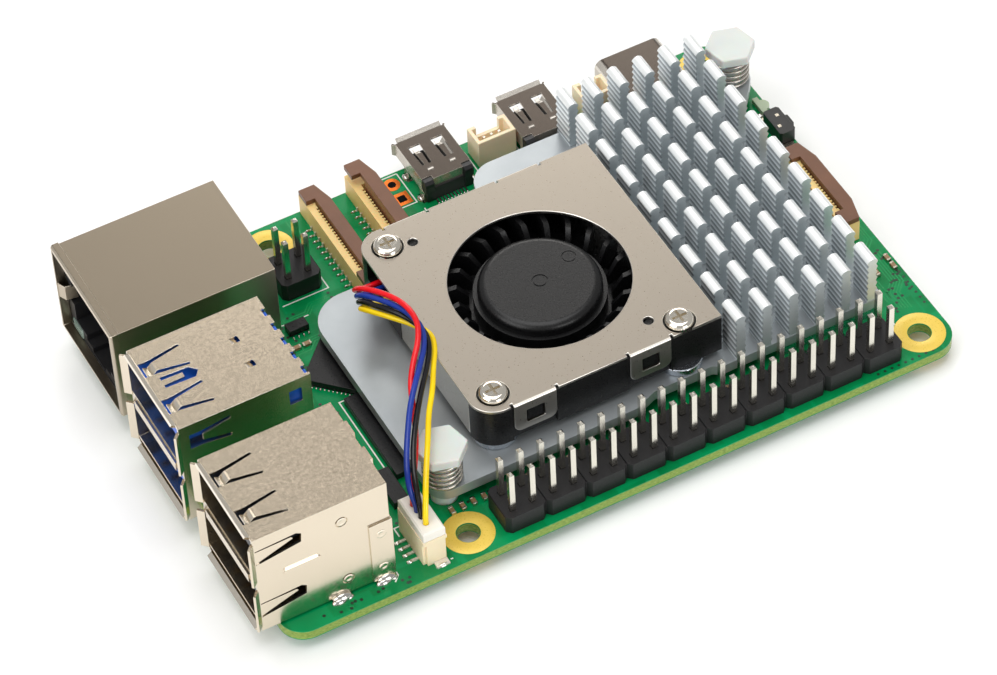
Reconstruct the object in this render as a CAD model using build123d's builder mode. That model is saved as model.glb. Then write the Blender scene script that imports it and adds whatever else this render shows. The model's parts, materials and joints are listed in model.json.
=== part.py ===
from build123d import *
from math import cos, pi, radians, sin, tan
import os

os.makedirs("parts", exist_ok=True)

# Single board computer with a clip-on cooler.  Lengths are in millimetres.
#
# The part's origin is the centre of the four mounting holes, on the board's underside.
# +X runs towards the USB and network sockets, +Y towards the pin header, +Z up.
# Positions below are read from the board's corner beside the power socket, with z = 0 on
# the board's top face: that is the plane called board.

# ---------------------------------------------------------------- driving dimensions
BOARD_LENGTH = 85.0
BOARD_WIDTH = 56.0
BOARD_THICKNESS = 1.4
BOARD_CORNER = 3.0
HOLE_SPACING_X = 58.0
HOLE_SPACING_Y = 49.0
HOLE_INSET = 3.5
HOLE_DIAMETER = 2.7
UNDERSIDE = -BOARD_THICKNESS
TAIL_BOTTOM = UNDERSIDE - 1.5

PIN_PITCH = 2.54
PIN_SIDE = 0.64
PIN_TOP = 8.5
PIN_TAIL_HOLE = 1.0
HEADER_COLUMNS = 20
HEADER_CENTRE = (32.5, 52.5)
POE_CENTRE = (61.2, 9.45)

SHEET = 0.3
USB_REAR = 71.2
USB_FRONT = 87.2
USB_WIDTH = 13.1
USB_TOP = 15.5
USB3_CENTRE = 29.1
USB2_CENTRE = 47.0
USB_PORT_FLOORS = (1.5, 9.0)
USB_PORT_HEIGHT = 5.7

JACK_REAR = 66.9
JACK_FRONT = 87.2
JACK_CENTRE = 10.2
JACK_WIDTH = 15.8
JACK_TOP = 13.4

HDMI_CENTRES = (25.8, 39.2)
USB_C_CENTRE = 11.2

RIBBON_TOP = 3.0
RIBBON_TRAVEL = 1.1
RIBBON_FACES = {"camera_0": 55.8, "camera_1": 49.8, "pcie": 3.95}
RIBBON_STARTS = {"camera_0": 0.2, "camera_1": 0.2, "pcie": 22.9}
RIBBON_WAYS = {"camera_0": 22, "camera_1": 22, "pcie": 16}

PLATE_BOTTOM = 1.6
PLATE_TOP = 3.0
FIN_TOP = 9.8
FIN_LENGTH = 3.1
FIN_THICKNESS = 1.4
FIN_PITCH_X = 3.42
FIN_PITCH_Y = 4.8
FIN_COLUMNS = 6
FIN_ROWS = 9
FIN_GRID_CENTRE = (15.65, 27.1)

PUSH_PINS = {"push_pin_1": (61.2, 46.3), "push_pin_2": (2.9, 9.0)}
PUSH_PIN_RADIUS = 1.55
PUSH_PIN_HOLE = 1.62
PUSH_PIN_HEAD_TOP = 8.5
PUSH_PIN_HEAD_BOTTOM = 7.3

FAN_LEFT = 25.8
FAN_RIGHT = 56.1
FAN_BACK = 15.4
FAN_FRONT = 46.35
FAN_FLOOR = 3.95
COVER_BOTTOM = 9.2
COVER_TOP = 9.6
FAN_CENTRE = (40.6, 31.3)
INLET_RADIUS = 10.4
HUB_RADIUS = 7.1
HUB_FOOT_RADIUS = 7.6
BLADE_COUNT = 23
FAN_SCREWS = ((53.1, 18.3), (53.2, 43.6), (30.2, 44.6))
SCREW_RADIUS = 0.8
SCREW_HEAD_RADIUS = 1.65

WIRE_DIAMETER = 0.66

board = Plane(origin=(-HOLE_INSET - HOLE_SPACING_X / 2, -HOLE_INSET - HOLE_SPACING_Y / 2, BOARD_THICKNESS))


# ---------------------------------------------------------------- helpers
def block(x0, x1, y0, y1, z0, z1, mode=Mode.ADD):
    """Box between two corners."""
    with Locations(((x0 + x1) / 2, (y0 + y1) / 2, (z0 + z1) / 2)):
        Box(x1 - x0, y1 - y0, z1 - z0, mode=mode)


def rod(x, y, radius, z0, z1, mode=Mode.ADD):
    """Upright cylinder."""
    with Locations((x, y, (z0 + z1) / 2)):
        Cylinder(radius, z1 - z0, mode=mode)


def prism_z(points, z0, z1, mode=Mode.ADD):
    """Prism with a plan outline of (x, y) points."""
    with BuildSketch(board.offset(z0)) as outline:
        with BuildLine():
            Polyline(*points, close=True)
        make_face()
    extrude(outline.sketch, amount=z1 - z0, mode=mode)


def prism_x(points, x0, x1, mode=Mode.ADD):
    """Prism with a profile of (y, z) points."""
    start = board.origin + Vector(x0, 0, 0)
    with BuildSketch(Plane(start, x_dir=(0, 1, 0), z_dir=(1, 0, 0))) as outline:
        with BuildLine():
            Polyline(*points, close=True)
        make_face()
    extrude(outline.sketch, amount=x1 - x0, mode=mode)


def prism_y(points, y0, y1, mode=Mode.ADD):
    """Prism with a profile of (x, z) points."""
    start = board.origin + Vector(0, y1, 0)
    with BuildSketch(Plane(start, x_dir=(1, 0, 0), z_dir=(0, -1, 0))) as outline:
        with BuildLine():
            Polyline(*points, close=True)
        make_face()
    extrude(outline.sketch, amount=y1 - y0, mode=mode)


def cut_out(part):
    """Take away a piece that is already in its place."""
    with Locations(board.location.inverse()):
        add(part, mode=Mode.SUBTRACT)


def grid(centre, pitch, columns, rows):
    """Points of a square grid about a centre."""
    return [
        (centre[0] + (column - (columns - 1) / 2) * pitch, centre[1] + (row - (rows - 1) / 2) * pitch)
        for column in range(columns)
        for row in range(rows)
    ]


def bend_radii(route):
    """Largest arc that each corner's two runs leave room for."""
    radii = []
    for before, corner, after in zip(route, route[1:], route[2:]):
        run_in = Vector(corner) - Vector(before)
        run_out = Vector(after) - Vector(corner)
        turn = radians(run_in.get_angle(run_out))
        radii.append(0.45 * min(run_in.length, run_out.length) / tan(turn / 2))
    return radii


# ---------------------------------------------------------------- positions shared by several pieces
mounting_holes = [
    (HOLE_INSET + column * HOLE_SPACING_X, HOLE_INSET + row * HOLE_SPACING_Y)
    for column in (0, 1)
    for row in (0, 1)
]
header_spots = grid(HEADER_CENTRE, PIN_PITCH, HEADER_COLUMNS, 2)
poe_spots = grid(POE_CENTRE, PIN_PITCH, 2, 2)

# Tails of the sheet metal shells: centre x, centre y and the direction of the long side.
usb3_tails = [(x, USB3_CENTRE + side * (USB_WIDTH - SHEET) / 2, "x") for x in (72.2, 77.6) for side in (-1, 1)]
usb2_tails = [(x, USB2_CENTRE + side * (USB_WIDTH - SHEET) / 2, "x") for x in (72.2, 77.6) for side in (-1, 1)]
jack_tails = [(x, JACK_CENTRE + side * (JACK_WIDTH - SHEET) / 2, "x") for x in (71.0, 80.5) for side in (-1, 1)]
usb_c_tails = [(USB_C_CENTRE + side * 4.35, y, "y") for y in (1.2, 5.2) for side in (-1, 1)]
hdmi_tails = [(centre + side * 3.1, y, "y") for centre in HDMI_CENTRES for y in (1.5, 5.4) for side in (-1, 1)]
shell_tails = usb3_tails + usb2_tails + jack_tails + usb_c_tails + hdmi_tails

# Signal contacts of the two double sockets: y, tongue level, x of the tail, and strip end.
usb3_contacts = [(USB3_CENTRE + 3.5 - 2.33 * n, port, 73.6 + 1.3 * port, 86.0) for n in range(4) for port in (0, 1)]
usb3_contacts += [(USB3_CENTRE + 4.0 - 2.0 * n, port, 76.4 + 1.3 * port, 81.0) for n in range(5) for port in (0, 1)]
usb2_contacts = [(USB2_CENTRE + 3.5 - 2.33 * n, port, 73.6 + 1.3 * port, 86.0) for n in range(4) for port in (0, 1)]
jack_contact_tails = [(70.2 + 1.8 * (n % 2), JACK_CENTRE - 4.45 + 1.27 * n) for n in range(8)]


def tail_box(x, y, along, length, width, z0, z1, mode=Mode.ADD):
    """Upright strip of a shell that passes through the board."""
    half_x, half_y = (length / 2, width / 2) if along == "x" else (width / 2, length / 2)
    block(x - half_x, x + half_x, y - half_y, y + half_y, z0, z1, mode)


# ---------------------------------------------------------------- circuit board
with BuildPart(board) as circuit_board:
    with BuildSketch(board.offset(UNDERSIDE)) as board_outline:
        with Locations((BOARD_LENGTH / 2, BOARD_WIDTH / 2)):
            RectangleRounded(BOARD_LENGTH, BOARD_WIDTH, BOARD_CORNER)
        with Locations(*mounting_holes):
            Circle(HOLE_DIAMETER / 2, mode=Mode.SUBTRACT)
        with Locations(*PUSH_PINS.values()):
            Circle(PUSH_PIN_HOLE, mode=Mode.SUBTRACT)
        with Locations(*header_spots, *poe_spots, *jack_contact_tails):
            Circle(PIN_TAIL_HOLE / 2, mode=Mode.SUBTRACT)
        with Locations(*[(tail_x, y) for y, _, tail_x, _ in usb3_contacts + usb2_contacts]):
            Circle(PIN_TAIL_HOLE / 2 - 0.1, mode=Mode.SUBTRACT)
    extrude(amount=BOARD_THICKNESS)
    for x, y, along in shell_tails:
        tail_box(x, y, along, 1.6, 0.7, UNDERSIDE, 0, Mode.SUBTRACT)
circuit_board.part.label = "circuit_board"
export_step(circuit_board.part, "parts/circuit_board.step")

# ---------------------------------------------------------------- pin headers
with BuildPart(board) as header_pins:
    with Locations(*[(x, y, (PIN_TOP + TAIL_BOTTOM) / 2) for x, y in header_spots + poe_spots]):
        Box(PIN_SIDE, PIN_SIDE, PIN_TOP - TAIL_BOTTOM)
    chamfer(header_pins.edges().group_by(Axis.Z)[-1], 0.2)
    chamfer(header_pins.edges().group_by(Axis.Z)[0], 0.15)
header_pins.part.label = "header_pins"
export_step(header_pins.part, "parts/header_pins.step")


def header_housing(centre, blocks):
    """Moulded strip in two-by-two blocks, notched between the blocks."""
    block_length = 2 * PIN_PITCH
    left = centre[0] - blocks * PIN_PITCH
    front = centre[1] + PIN_PITCH
    back = centre[1] - PIN_PITCH
    notch = 0.55
    block(left, left + blocks * block_length, back, front, 0, PIN_PITCH)
    for n in range(blocks + 1):
        x = left + n * block_length
        prism_z([(x - notch, front), (x, front - notch), (x + notch, front)], 0, PIN_PITCH, Mode.SUBTRACT)
        prism_z([(x - notch, back), (x, back + notch), (x + notch, back)], 0, PIN_PITCH, Mode.SUBTRACT)
        block(x - 0.05, x + 0.05, back, front, PIN_PITCH - 0.1, PIN_PITCH, Mode.SUBTRACT)


with BuildPart(board) as gpio_header_housing:
    header_housing(HEADER_CENTRE, HEADER_COLUMNS // 2)
    cut_out(header_pins.part)
gpio_header_housing.part.label = "gpio_header_housing"
export_step(gpio_header_housing.part, "parts/gpio_header_housing.step")

with BuildPart(board) as poe_header_housing:
    header_housing(POE_CENTRE, 1)
    cut_out(header_pins.part)
poe_header_housing.part.label = "poe_header_housing"
export_step(poe_header_housing.part, "parts/poe_header_housing.step")

# ---------------------------------------------------------------- network socket
jack_back_y = JACK_CENTRE - JACK_WIDTH / 2
jack_front_y = JACK_CENTRE + JACK_WIDTH / 2
socket_width = 11.8
socket_floor = 2.4
socket_roof = 9.6
rim_depth = 0.95
lamp_centres = (JACK_CENTRE - 5.55, JACK_CENTRE + 5.55)

with BuildPart(board) as ethernet_shield:
    block(JACK_REAR, JACK_FRONT - 0.2, jack_back_y, jack_front_y, 0.1, JACK_TOP)
    block(JACK_REAR + SHEET, JACK_FRONT, jack_back_y + SHEET, jack_front_y - SHEET, 0, JACK_TOP - SHEET,
          Mode.SUBTRACT)
    # The front rim is folded over, thicker and a little proud, with a rounded edge.
    block(JACK_FRONT - rim_depth, JACK_FRONT + 0.15, jack_back_y - 0.12, jack_front_y + 0.12, 0.1,
          JACK_TOP + 0.12)
    fillet(ethernet_shield.faces().sort_by(Axis.X)[-1].edges(), 0.38)
    block(JACK_FRONT - 2, JACK_FRONT + 1, jack_back_y + 0.35, jack_front_y - 0.35, 0.55, JACK_TOP - 0.4,
          Mode.SUBTRACT)
    # Earthing springs fold in from both sides of the rim.
    for side in (-1, 1):
        wall = JACK_CENTRE + side * (JACK_WIDTH / 2 - 0.35)
        prism_z([(JACK_FRONT - 0.1, wall + side * 0.2), (JACK_FRONT - 0.5, wall - side * 0.7),
                 (JACK_FRONT - 1.8, wall - side * 1.0), (JACK_FRONT - 1.8, wall - side * 1.2),
                 (JACK_FRONT - 0.4, wall - side * 0.95), (JACK_FRONT + 0.1, wall + side * 0.15)], 5.4, 7.6)
    for x, y, along in jack_tails:
        tail_box(x, y, along, 1.2, SHEET, TAIL_BOTTOM, 0.2)
ethernet_shield.part.label = "ethernet_shield"
export_step(ethernet_shield.part, "parts/ethernet_shield.step")

# Eight spring contacts slope from the roof at the mouth down towards the back of the socket.
with BuildPart(board) as ethernet_contacts:
    for n, (tail_x, y) in enumerate(jack_contact_tails):
        spring = [(85.0, 9.45), (85.0, 9.15), (77.6, 7.3), (77.5, 7.6)]
        prism_y(spring, y - 0.2, y + 0.2)
        block(tail_x - 0.2, 77.65, y - 0.2, y + 0.2, 7.3, 7.6)
        block(tail_x - 0.2, tail_x + 0.2, y - 0.2, y + 0.2, TAIL_BOTTOM, 7.6)
ethernet_contacts.part.label = "ethernet_contacts"
export_step(ethernet_contacts.part, "parts/ethernet_contacts.step")

housing_front = JACK_FRONT - 1.0

with BuildPart(board) as ethernet_lamp_lenses:
    for y in lamp_centres:
        block(80.0, housing_front + 0.15, y - 1.3, y + 1.3, 0.75, 2.1)
    fillet(ethernet_lamp_lenses.edges().filter_by(Axis.Z).group_by(Axis.X)[-1], 0.3)
ethernet_lamp_lenses.part.label = "ethernet_lamp_lenses"
export_step(ethernet_lamp_lenses.part, "parts/ethernet_lamp_lenses.step")

with BuildPart(board) as ethernet_housing:
    block(JACK_REAR + 0.5, housing_front, jack_back_y + 0.5, jack_front_y - 0.5, 0.0, JACK_TOP - 0.5)
    block(76.0, 88, JACK_CENTRE - socket_width / 2, JACK_CENTRE + socket_width / 2,
          socket_floor, socket_roof, Mode.SUBTRACT)
    # Keyway for the plug's latch, in two steps.
    block(77.0, 88, JACK_CENTRE - 3.2, JACK_CENTRE + 3.2, 1.6, socket_floor, Mode.SUBTRACT)
    block(77.0, 88, JACK_CENTRE - 1.7, JACK_CENTRE + 1.7, 0.9, 1.6, Mode.SUBTRACT)
    # Room for the earthing springs, and a relief above the socket.
    for side in (-1, 1):
        outer = JACK_CENTRE + side * 7.45
        inner = JACK_CENTRE + side * 5.8
        block(85.0, 88, min(outer, inner), max(outer, inner), 5.0, 8.0, Mode.SUBTRACT)
    block(85.4, 88, JACK_CENTRE - 4.5, JACK_CENTRE + 4.5, 10.4, 12.2, Mode.SUBTRACT)
    cut_out(ethernet_contacts.part)
    cut_out(ethernet_lamp_lenses.part)
ethernet_housing.part.label = "ethernet_housing"
export_step(ethernet_housing.part, "parts/ethernet_housing.step")


# ---------------------------------------------------------------- double USB sockets
def usb_contact(y, port, tail_x, strip_end):
    """Strip under a tongue, with its tail down through the board."""
    level = USB_PORT_FLOORS[port] + 3.1
    block(tail_x - 0.15, strip_end, y - 0.3, y + 0.3, level - 0.2, level)
    block(tail_x - 0.15, tail_x + 0.15, y - 0.3, y + 0.3, TAIL_BOTTOM, level)


with BuildPart(board) as usb_contacts:
    for contact in usb3_contacts + usb2_contacts:
        usb_contact(*contact)
usb_contacts.part.label = "usb_contacts"
export_step(usb_contacts.part, "parts/usb_contacts.step")


def usb_insulator(centre):
    """Moulded back block with one tongue in the roof of each port."""
    side = USB_WIDTH / 2 - SHEET - 0.15
    block(USB_REAR + SHEET + 0.1, 77.8, centre - side, centre + side, 0, USB_TOP - 0.85)
    for floor in USB_PORT_FLOORS:
        block(77.6, 86.6, centre - 5.5, centre + 5.5, floor + 3.1, floor + 5.0)
    for port, floor in enumerate(USB_PORT_FLOORS):
        block(77.6, 86.6, centre - 5.5, centre + 5.5, floor + 3.0, floor + 3.1)
    cut_out(usb_contacts.part)


def side_lip(centre, side, z0, z1):
    """Strip that flares outwards beside a port."""
    wall = centre + side * USB_WIDTH / 2
    inner = wall - side * SHEET
    flare = [(USB_FRONT - 0.4, inner), (USB_FRONT - 0.4, wall), (USB_FRONT - 0.1, wall),
             (USB_FRONT + 0.55, wall + side * 0.6), (USB_FRONT + 0.75, wall + side * 0.4), (USB_FRONT + 0.1, inner)]
    prism_z(flare, z0, z1)


def level_lip(centre, level, side):
    """Strip that flares up (side 1) or down (side -1) across a port."""
    inner = level - side * SHEET
    flare = [(USB_FRONT - 0.4, inner), (USB_FRONT - 0.4, level), (USB_FRONT - 0.1, level),
             (USB_FRONT + 0.45, level + side * 0.35), (USB_FRONT + 0.6, level + side * 0.12), (USB_FRONT + 0.1, inner)]
    prism_y(flare, centre - 5.9, centre + 5.9)


def usb_shell(centre, tails):
    """Open-fronted can with a divider, flared lips and spring fingers in the roof."""
    low = centre - USB_WIDTH / 2
    high = centre + USB_WIDTH / 2
    block(USB_REAR, USB_FRONT, low, high, 0.3, USB_TOP)
    block(USB_REAR + SHEET, USB_FRONT, low + SHEET, high - SHEET, 0.3 + SHEET, USB_TOP - SHEET, Mode.SUBTRACT)
    block(USB_REAR + SHEET, 77.9, low + SHEET, high - SHEET, 0, 1, Mode.SUBTRACT)
    # The divider is a folded strip with a step in its front face.
    divider_low = USB_PORT_FLOORS[0] + USB_PORT_HEIGHT
    divider_high = USB_PORT_FLOORS[1]
    block(78.2, USB_FRONT, low + SHEET, high - SHEET, divider_low, divider_low + SHEET)
    block(78.2, USB_FRONT, low + SHEET, high - SHEET, divider_high - SHEET, divider_high)
    block(USB_FRONT - SHEET, USB_FRONT, low + SHEET, high - SHEET, divider_low, divider_high)
    block(USB_FRONT - 0.1, USB_FRONT + 0.35, centre - 5.2, centre + 5.2, divider_low + 0.3, divider_high - 0.3)
    block(78.2, USB_FRONT, low + SHEET, high - SHEET, USB_PORT_FLOORS[0] - SHEET, USB_PORT_FLOORS[0])
    for side in (-1, 1):
        side_lip(centre, side, 1.0, 7.0)
        side_lip(centre, side, 8.6, 14.8)
    level_lip(centre, USB_TOP, 1)
    level_lip(centre, 0.3, -1)
    for offset in (-3.0, 3.0):
        finger_root = centre + offset
        slot = [(87.0, finger_root - 1.1), (87.0, finger_root + 1.1), (85.7, finger_root + 1.1),
                (81.9, finger_root + 1.65), (81.8, finger_root + 1.35), (85.3, finger_root + 0.7),
                (85.3, finger_root - 0.7), (81.8, finger_root - 1.35), (81.9, finger_root - 1.65),
                (85.7, finger_root - 1.1)]
        prism_z(slot, USB_TOP - 2 * SHEET, USB_TOP + 0.1, Mode.SUBTRACT)
        tip = [(85.2, USB_TOP), (85.5, USB_TOP - 0.05), (86.1, USB_TOP - 0.6), (86.6, USB_TOP - 0.35),
               (86.6, USB_TOP - 0.6), (86.1, USB_TOP - 0.9), (85.2, USB_TOP - 0.3)]
        prism_y(tip, finger_root - 0.7, finger_root + 0.7)
    for x, y, along in tails:
        tail_box(x, y, along, 1.2, SHEET, TAIL_BOTTOM, 0.5)


with BuildPart(board) as usb3_insulator:
    usb_insulator(USB3_CENTRE)
usb3_insulator.part.label = "usb3_insulator"
export_step(usb3_insulator.part, "parts/usb3_insulator.step")

with BuildPart(board) as usb2_insulator:
    usb_insulator(USB2_CENTRE)
usb2_insulator.part.label = "usb2_insulator"
export_step(usb2_insulator.part, "parts/usb2_insulator.step")

with BuildPart(board) as usb3_shell:
    usb_shell(USB3_CENTRE, usb3_tails)
    roof = (USB_TOP - 2 * SHEET, USB_TOP + 0.1)
    # Extra tongue between the two fingers, and two small lances behind them.
    middle = USB3_CENTRE - 0.3
    prism_z([(85.7, middle - 0.9), (82.3, middle - 0.75), (81.5, middle + 0.1), (82.1, middle + 0.9),
             (85.7, middle + 0.75), (85.7, middle + 0.35), (83.2, middle + 0.3), (83.2, middle - 0.35),
             (85.7, middle - 0.45)], *roof, Mode.SUBTRACT)
    for y in (USB3_CENTRE - 2.0, USB3_CENTRE + 2.0):
        block(75.7, 76.7, y - 0.45, y + 0.45, *roof, Mode.SUBTRACT)
        prism_y([(76.75, USB_TOP), (76.75, USB_TOP - SHEET), (75.9, USB_TOP - 0.75), (75.9, USB_TOP - 0.45)],
                y - 0.4, y + 0.4)
    # Notched rear edge.
    for n in range(5):
        y = USB3_CENTRE - 4.0 + 2.4 * n - 0.5
        block(USB_REAR - 0.1, USB_REAR + 0.55, y, y + 1.1, USB_TOP - SHEET - 0.05, USB_TOP + 0.1, Mode.SUBTRACT)
        block(USB_REAR - 0.1, USB_REAR + SHEET + 0.05, y, y + 1.1, USB_TOP - 1.2, USB_TOP + 0.1, Mode.SUBTRACT)
    # Window and spring finger in the wall beside the other socket.
    wall = (USB3_CENTRE + USB_WIDTH / 2 - 2 * SHEET, USB3_CENTRE + USB_WIDTH / 2 + 0.1)
    block(72.4, 73.9, *wall, 11.8, 13.9, Mode.SUBTRACT)
    prism_y([(86.0, 11.6), (86.0, 13.8), (84.6, 13.8), (81.1, 14.3), (81.0, 13.9), (84.4, 13.2), (84.4, 12.2),
             (81.0, 11.5), (81.1, 11.1), (84.6, 11.6)], *wall, Mode.SUBTRACT)
usb3_shell.part.label = "usb3_shell"
export_step(usb3_shell.part, "parts/usb3_shell.step")

with BuildPart(board) as usb2_shell:
    usb_shell(USB2_CENTRE, usb2_tails)
    wall_y = USB2_CENTRE + USB_WIDTH / 2
    wall = (wall_y - 2 * SHEET, wall_y + 0.1)
    # Two long tapered springs in the outer wall, one for each port.
    for drop in (0.0, 8.8):
        prism_y([(87.0, 13.6 - drop), (82.1, 13.8 - drop), (81.5, 13.4 - drop), (81.6, 12.1 - drop),
                 (87.0, 11.3 - drop), (87.0, 11.6 - drop), (84.2, 12.6 - drop), (82.5, 13.2 - drop),
                 (82.7, 13.5 - drop), (87.0, 13.45 - drop)], *wall, Mode.SUBTRACT)
    # Raised bead and two round dimples.
    with BuildSketch(Plane(board.origin + Vector(81.8, wall_y - 0.05, 8.4), x_dir=(1, 0, 0), z_dir=(0, 1, 0))) as bead:
        SlotOverall(4.6, 0.9)
    extrude(bead.sketch, amount=0.25, taper=20)
    for x, z in ((76.8, 12.4), (76.6, 2.7)):
        with BuildSketch(Plane(board.origin + Vector(x, wall_y + 0.01, z), x_dir=(1, 0, 0), z_dir=(0, 1, 0))) as dimple:
            Circle(0.75)
            Circle(0.45, mode=Mode.SUBTRACT)
        extrude(dimple.sketch, amount=-0.16, mode=Mode.SUBTRACT)
    # Rear cover flap, folded over the corner and held by two rivet dimples.
    block(USB_REAR - 0.15, 73.75, wall_y - 0.05, wall_y + 0.2, 0.4, 9.7)
    block(USB_REAR - 0.2, USB_REAR + 0.05, USB2_CENTRE - 5.0, wall_y + 0.2, 0.4, 9.7)
    for z in (7.9, 2.4):
        with BuildSketch(Plane(board.origin + Vector(72.4, wall_y + 0.2, z), x_dir=(1, 0, 0), z_dir=(0, 1, 0))) as rivet:
            Circle(0.55)
        extrude(rivet.sketch, amount=-0.15, mode=Mode.SUBTRACT)
    # Two hooked tabs on the rear edge of the roof.
    for y in (USB2_CENTRE - 3.6, USB2_CENTRE + 0.6):
        block(USB_REAR - 0.4, USB_REAR + 0.1, y, y + 2.0, USB_TOP - 1.5, USB_TOP - 0.25)
usb2_shell.part.label = "usb2_shell"
export_step(usb2_shell.part, "parts/usb2_shell.step")

# ---------------------------------------------------------------- power and display sockets
usb_c_width = 8.9
usb_c_height = 3.2
usb_c_back = 6.1
usb_c_mouth = -1.1


def rounded_tube(centre, width, height, lift, radius, y0, y1, wall, mode=Mode.ADD):
    """Rounded rectangular tube along Y; a wall of zero makes it solid."""
    start = board.origin + Vector(centre, y1, lift + height / 2)
    with BuildSketch(Plane(start, x_dir=(1, 0, 0), z_dir=(0, -1, 0))) as section:
        RectangleRounded(width, height, radius)
        if wall:
            RectangleRounded(width - 2 * wall, height - 2 * wall, radius - wall, mode=Mode.SUBTRACT)
    extrude(section.sketch, amount=y1 - y0, mode=mode)


with BuildPart(board) as usb_c_shell:
    rounded_tube(USB_C_CENTRE, usb_c_width, usb_c_height, 0.02, 1.1, usb_c_mouth, usb_c_back, 0.25)
    for x, y, along in usb_c_tails:
        tail_box(x, y, along, 1.1, 0.25, TAIL_BOTTOM + 0.9, 1.6)
usb_c_shell.part.label = "usb_c_shell"
export_step(usb_c_shell.part, "parts/usb_c_shell.step")

with BuildPart(board) as usb_c_insulator:
    rounded_tube(USB_C_CENTRE, usb_c_width - 0.54, usb_c_height - 0.54, 0.29, 0.82, 4.2, usb_c_back, 0)
    block(USB_C_CENTRE - 3.35, USB_C_CENTRE + 3.35, -0.4, 4.4, 1.27, 1.97)
    block(USB_C_CENTRE - 3.6, USB_C_CENTRE + 3.6, usb_c_back, 6.45, 0.0, 2.6)
usb_c_insulator.part.label = "usb_c_insulator"
export_step(usb_c_insulator.part, "parts/usb_c_insulator.step")


def hdmi_profile(centre, inset):
    """Outline of the socket: square at the top, tapered at the bottom."""
    half = 3.2 - inset
    low = 0.1 + inset
    high = 3.3 - inset
    return [(centre - half, high), (centre + half, high), (centre + half, 1.3),
            (centre + half - 0.7, low), (centre - half + 0.7, low), (centre - half, 1.3)]


with BuildPart(board) as hdmi_shells:
    for centre in HDMI_CENTRES:
        prism_y(hdmi_profile(centre, 0), -1.1, 6.1)
        prism_y(hdmi_profile(centre, 0.25), -1.2, 5.85, Mode.SUBTRACT)
        # Flared mouth, top and sides.
        prism_x([(-1.0, 3.05), (-1.0, 3.3), (-1.15, 3.3), (-1.65, 3.6), (-1.7, 3.4), (-1.2, 3.05)],
                centre - 2.9, centre + 2.9)
        for side in (-1, 1):
            edge = centre + side * 3.2
            prism_z([(edge - side * 0.25, -1.0), (edge, -1.0), (edge, -1.1), (edge + side * 0.35, -1.5),
                     (edge + side * 0.15, -1.6), (edge - side * 0.25, -1.15)], 1.3, 3.0)
        for offset in (-1.45, 1.45):
            x = centre + offset
            prism_z([(x - 0.75, 0.2), (x + 0.75, 0.2), (x + 0.6, 3.6), (x + 0.25, 3.6), (x + 0.32, 1.6),
                     (x - 0.32, 1.6), (x - 0.25, 3.6), (x - 0.6, 3.6)], 2.9, 3.5, Mode.SUBTRACT)
            prism_x([(1.7, 3.05), (1.7, 3.3), (0.9, 2.85), (0.5, 3.05), (0.45, 2.85), (0.9, 2.6)],
                    x - 0.3, x + 0.3)
            # Pressed dimple behind the finger.
            prism_x([(4.2, 3.2), (4.3, 3.4), (4.5, 3.45), (4.65, 3.4), (4.7, 3.2)], x - 0.35, x + 0.35)
        # The back corners are cut away for the insulator's hooks.
        for start, end in ((centre - 3.3, centre - 1.95), (centre + 1.95, centre + 3.3)):
            block(start, end, 5.5, 6.2, 1.55, 3.4, Mode.SUBTRACT)
    for x, y, along in hdmi_tails:
        tail_box(x, y, along, 1.1, 0.25, TAIL_BOTTOM + 0.9, 1.5)
hdmi_shells.part.label = "hdmi_shells"
export_step(hdmi_shells.part, "parts/hdmi_shells.step")

with BuildPart(board) as hdmi_insulators:
    for centre in HDMI_CENTRES:
        prism_y(hdmi_profile(centre, 0.3), 4.6, 5.8)
        block(centre - 2.1, centre + 2.1, 0.2, 4.7, 1.5, 2.0)
        for start, end in ((centre - 3.15, centre - 2.0), (centre + 2.0, centre + 3.15)):
            prism_x([(5.6, 1.6), (5.6, 3.2), (6.2, 3.25), (6.55, 2.95), (6.55, 2.5), (6.45, 1.6)], start, end)
        block(centre - 3.0, centre - 2.0, 6.1, 6.45, 0.1, 1.7)
        block(centre + 2.0, centre + 3.0, 6.1, 6.45, 0.1, 1.7)
        block(centre - 2.9, centre + 2.9, 6.1, 6.35, 0.1, 1.9)
hdmi_insulators.part.label = "hdmi_insulators"
export_step(hdmi_insulators.part, "parts/hdmi_insulators.step")

# ---------------------------------------------------------------- ribbon connectors
BLADE_THICKNESS = 0.35


def ribbon_length(ways):
    return ways * 0.5 + 5.8


def ribbon_body(name):
    """Body with a ribbon slot, comb teeth along its tall wall and pockets for the latch."""
    face = RIBBON_FACES[name]
    start = RIBBON_STARTS[name]
    ways = RIBBON_WAYS[name]
    end = start + ribbon_length(ways)
    block(face - 2.1, face, start, end, 0, RIBBON_TOP)
    block(face - 2.8, face - 2.0, start + 2.4, end - 2.4, 0, 2.2)
    block(face - 2.15, face - 1.05, start + 2.2, end - 2.2, 0.8, 4, Mode.SUBTRACT)
    for n in range(ways):
        y = (start + end) / 2 + (n - (ways - 1) / 2) * 0.5
        block(face - 1.1, face - 0.8, y - 0.13, y + 0.13, 1.4, RIBBON_TOP + 0.1, Mode.SUBTRACT)


def ribbon_latch(name, lift):
    """Flip bar with two end blocks and a blade that presses on the ribbon."""
    face = RIBBON_FACES[name]
    start = RIBBON_STARTS[name]
    end = start + ribbon_length(RIBBON_WAYS[name])
    low = RIBBON_TOP + 0.03 + lift
    high = low + 0.7
    outline = [(face - 0.02, start), (face - 0.02, start + 2.05), (face - 1.15, start + 2.05),
               (face - 1.15, end - 2.05), (face - 0.02, end - 2.05), (face - 0.02, end),
               (face - 2.05, end), (face - 2.8, end - 2.9), (face - 2.8, start + 2.9), (face - 2.05, start)]
    prism_z(outline, low, high)
    block(face - 2.75, face - 1.15, start + 3.0, end - 3.0, low - 0.6, low + 0.1)
    block(face - 1.55, face - 1.55 + BLADE_THICKNESS, start + 3.0, end - 3.0, low - 1.95, low)


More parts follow.
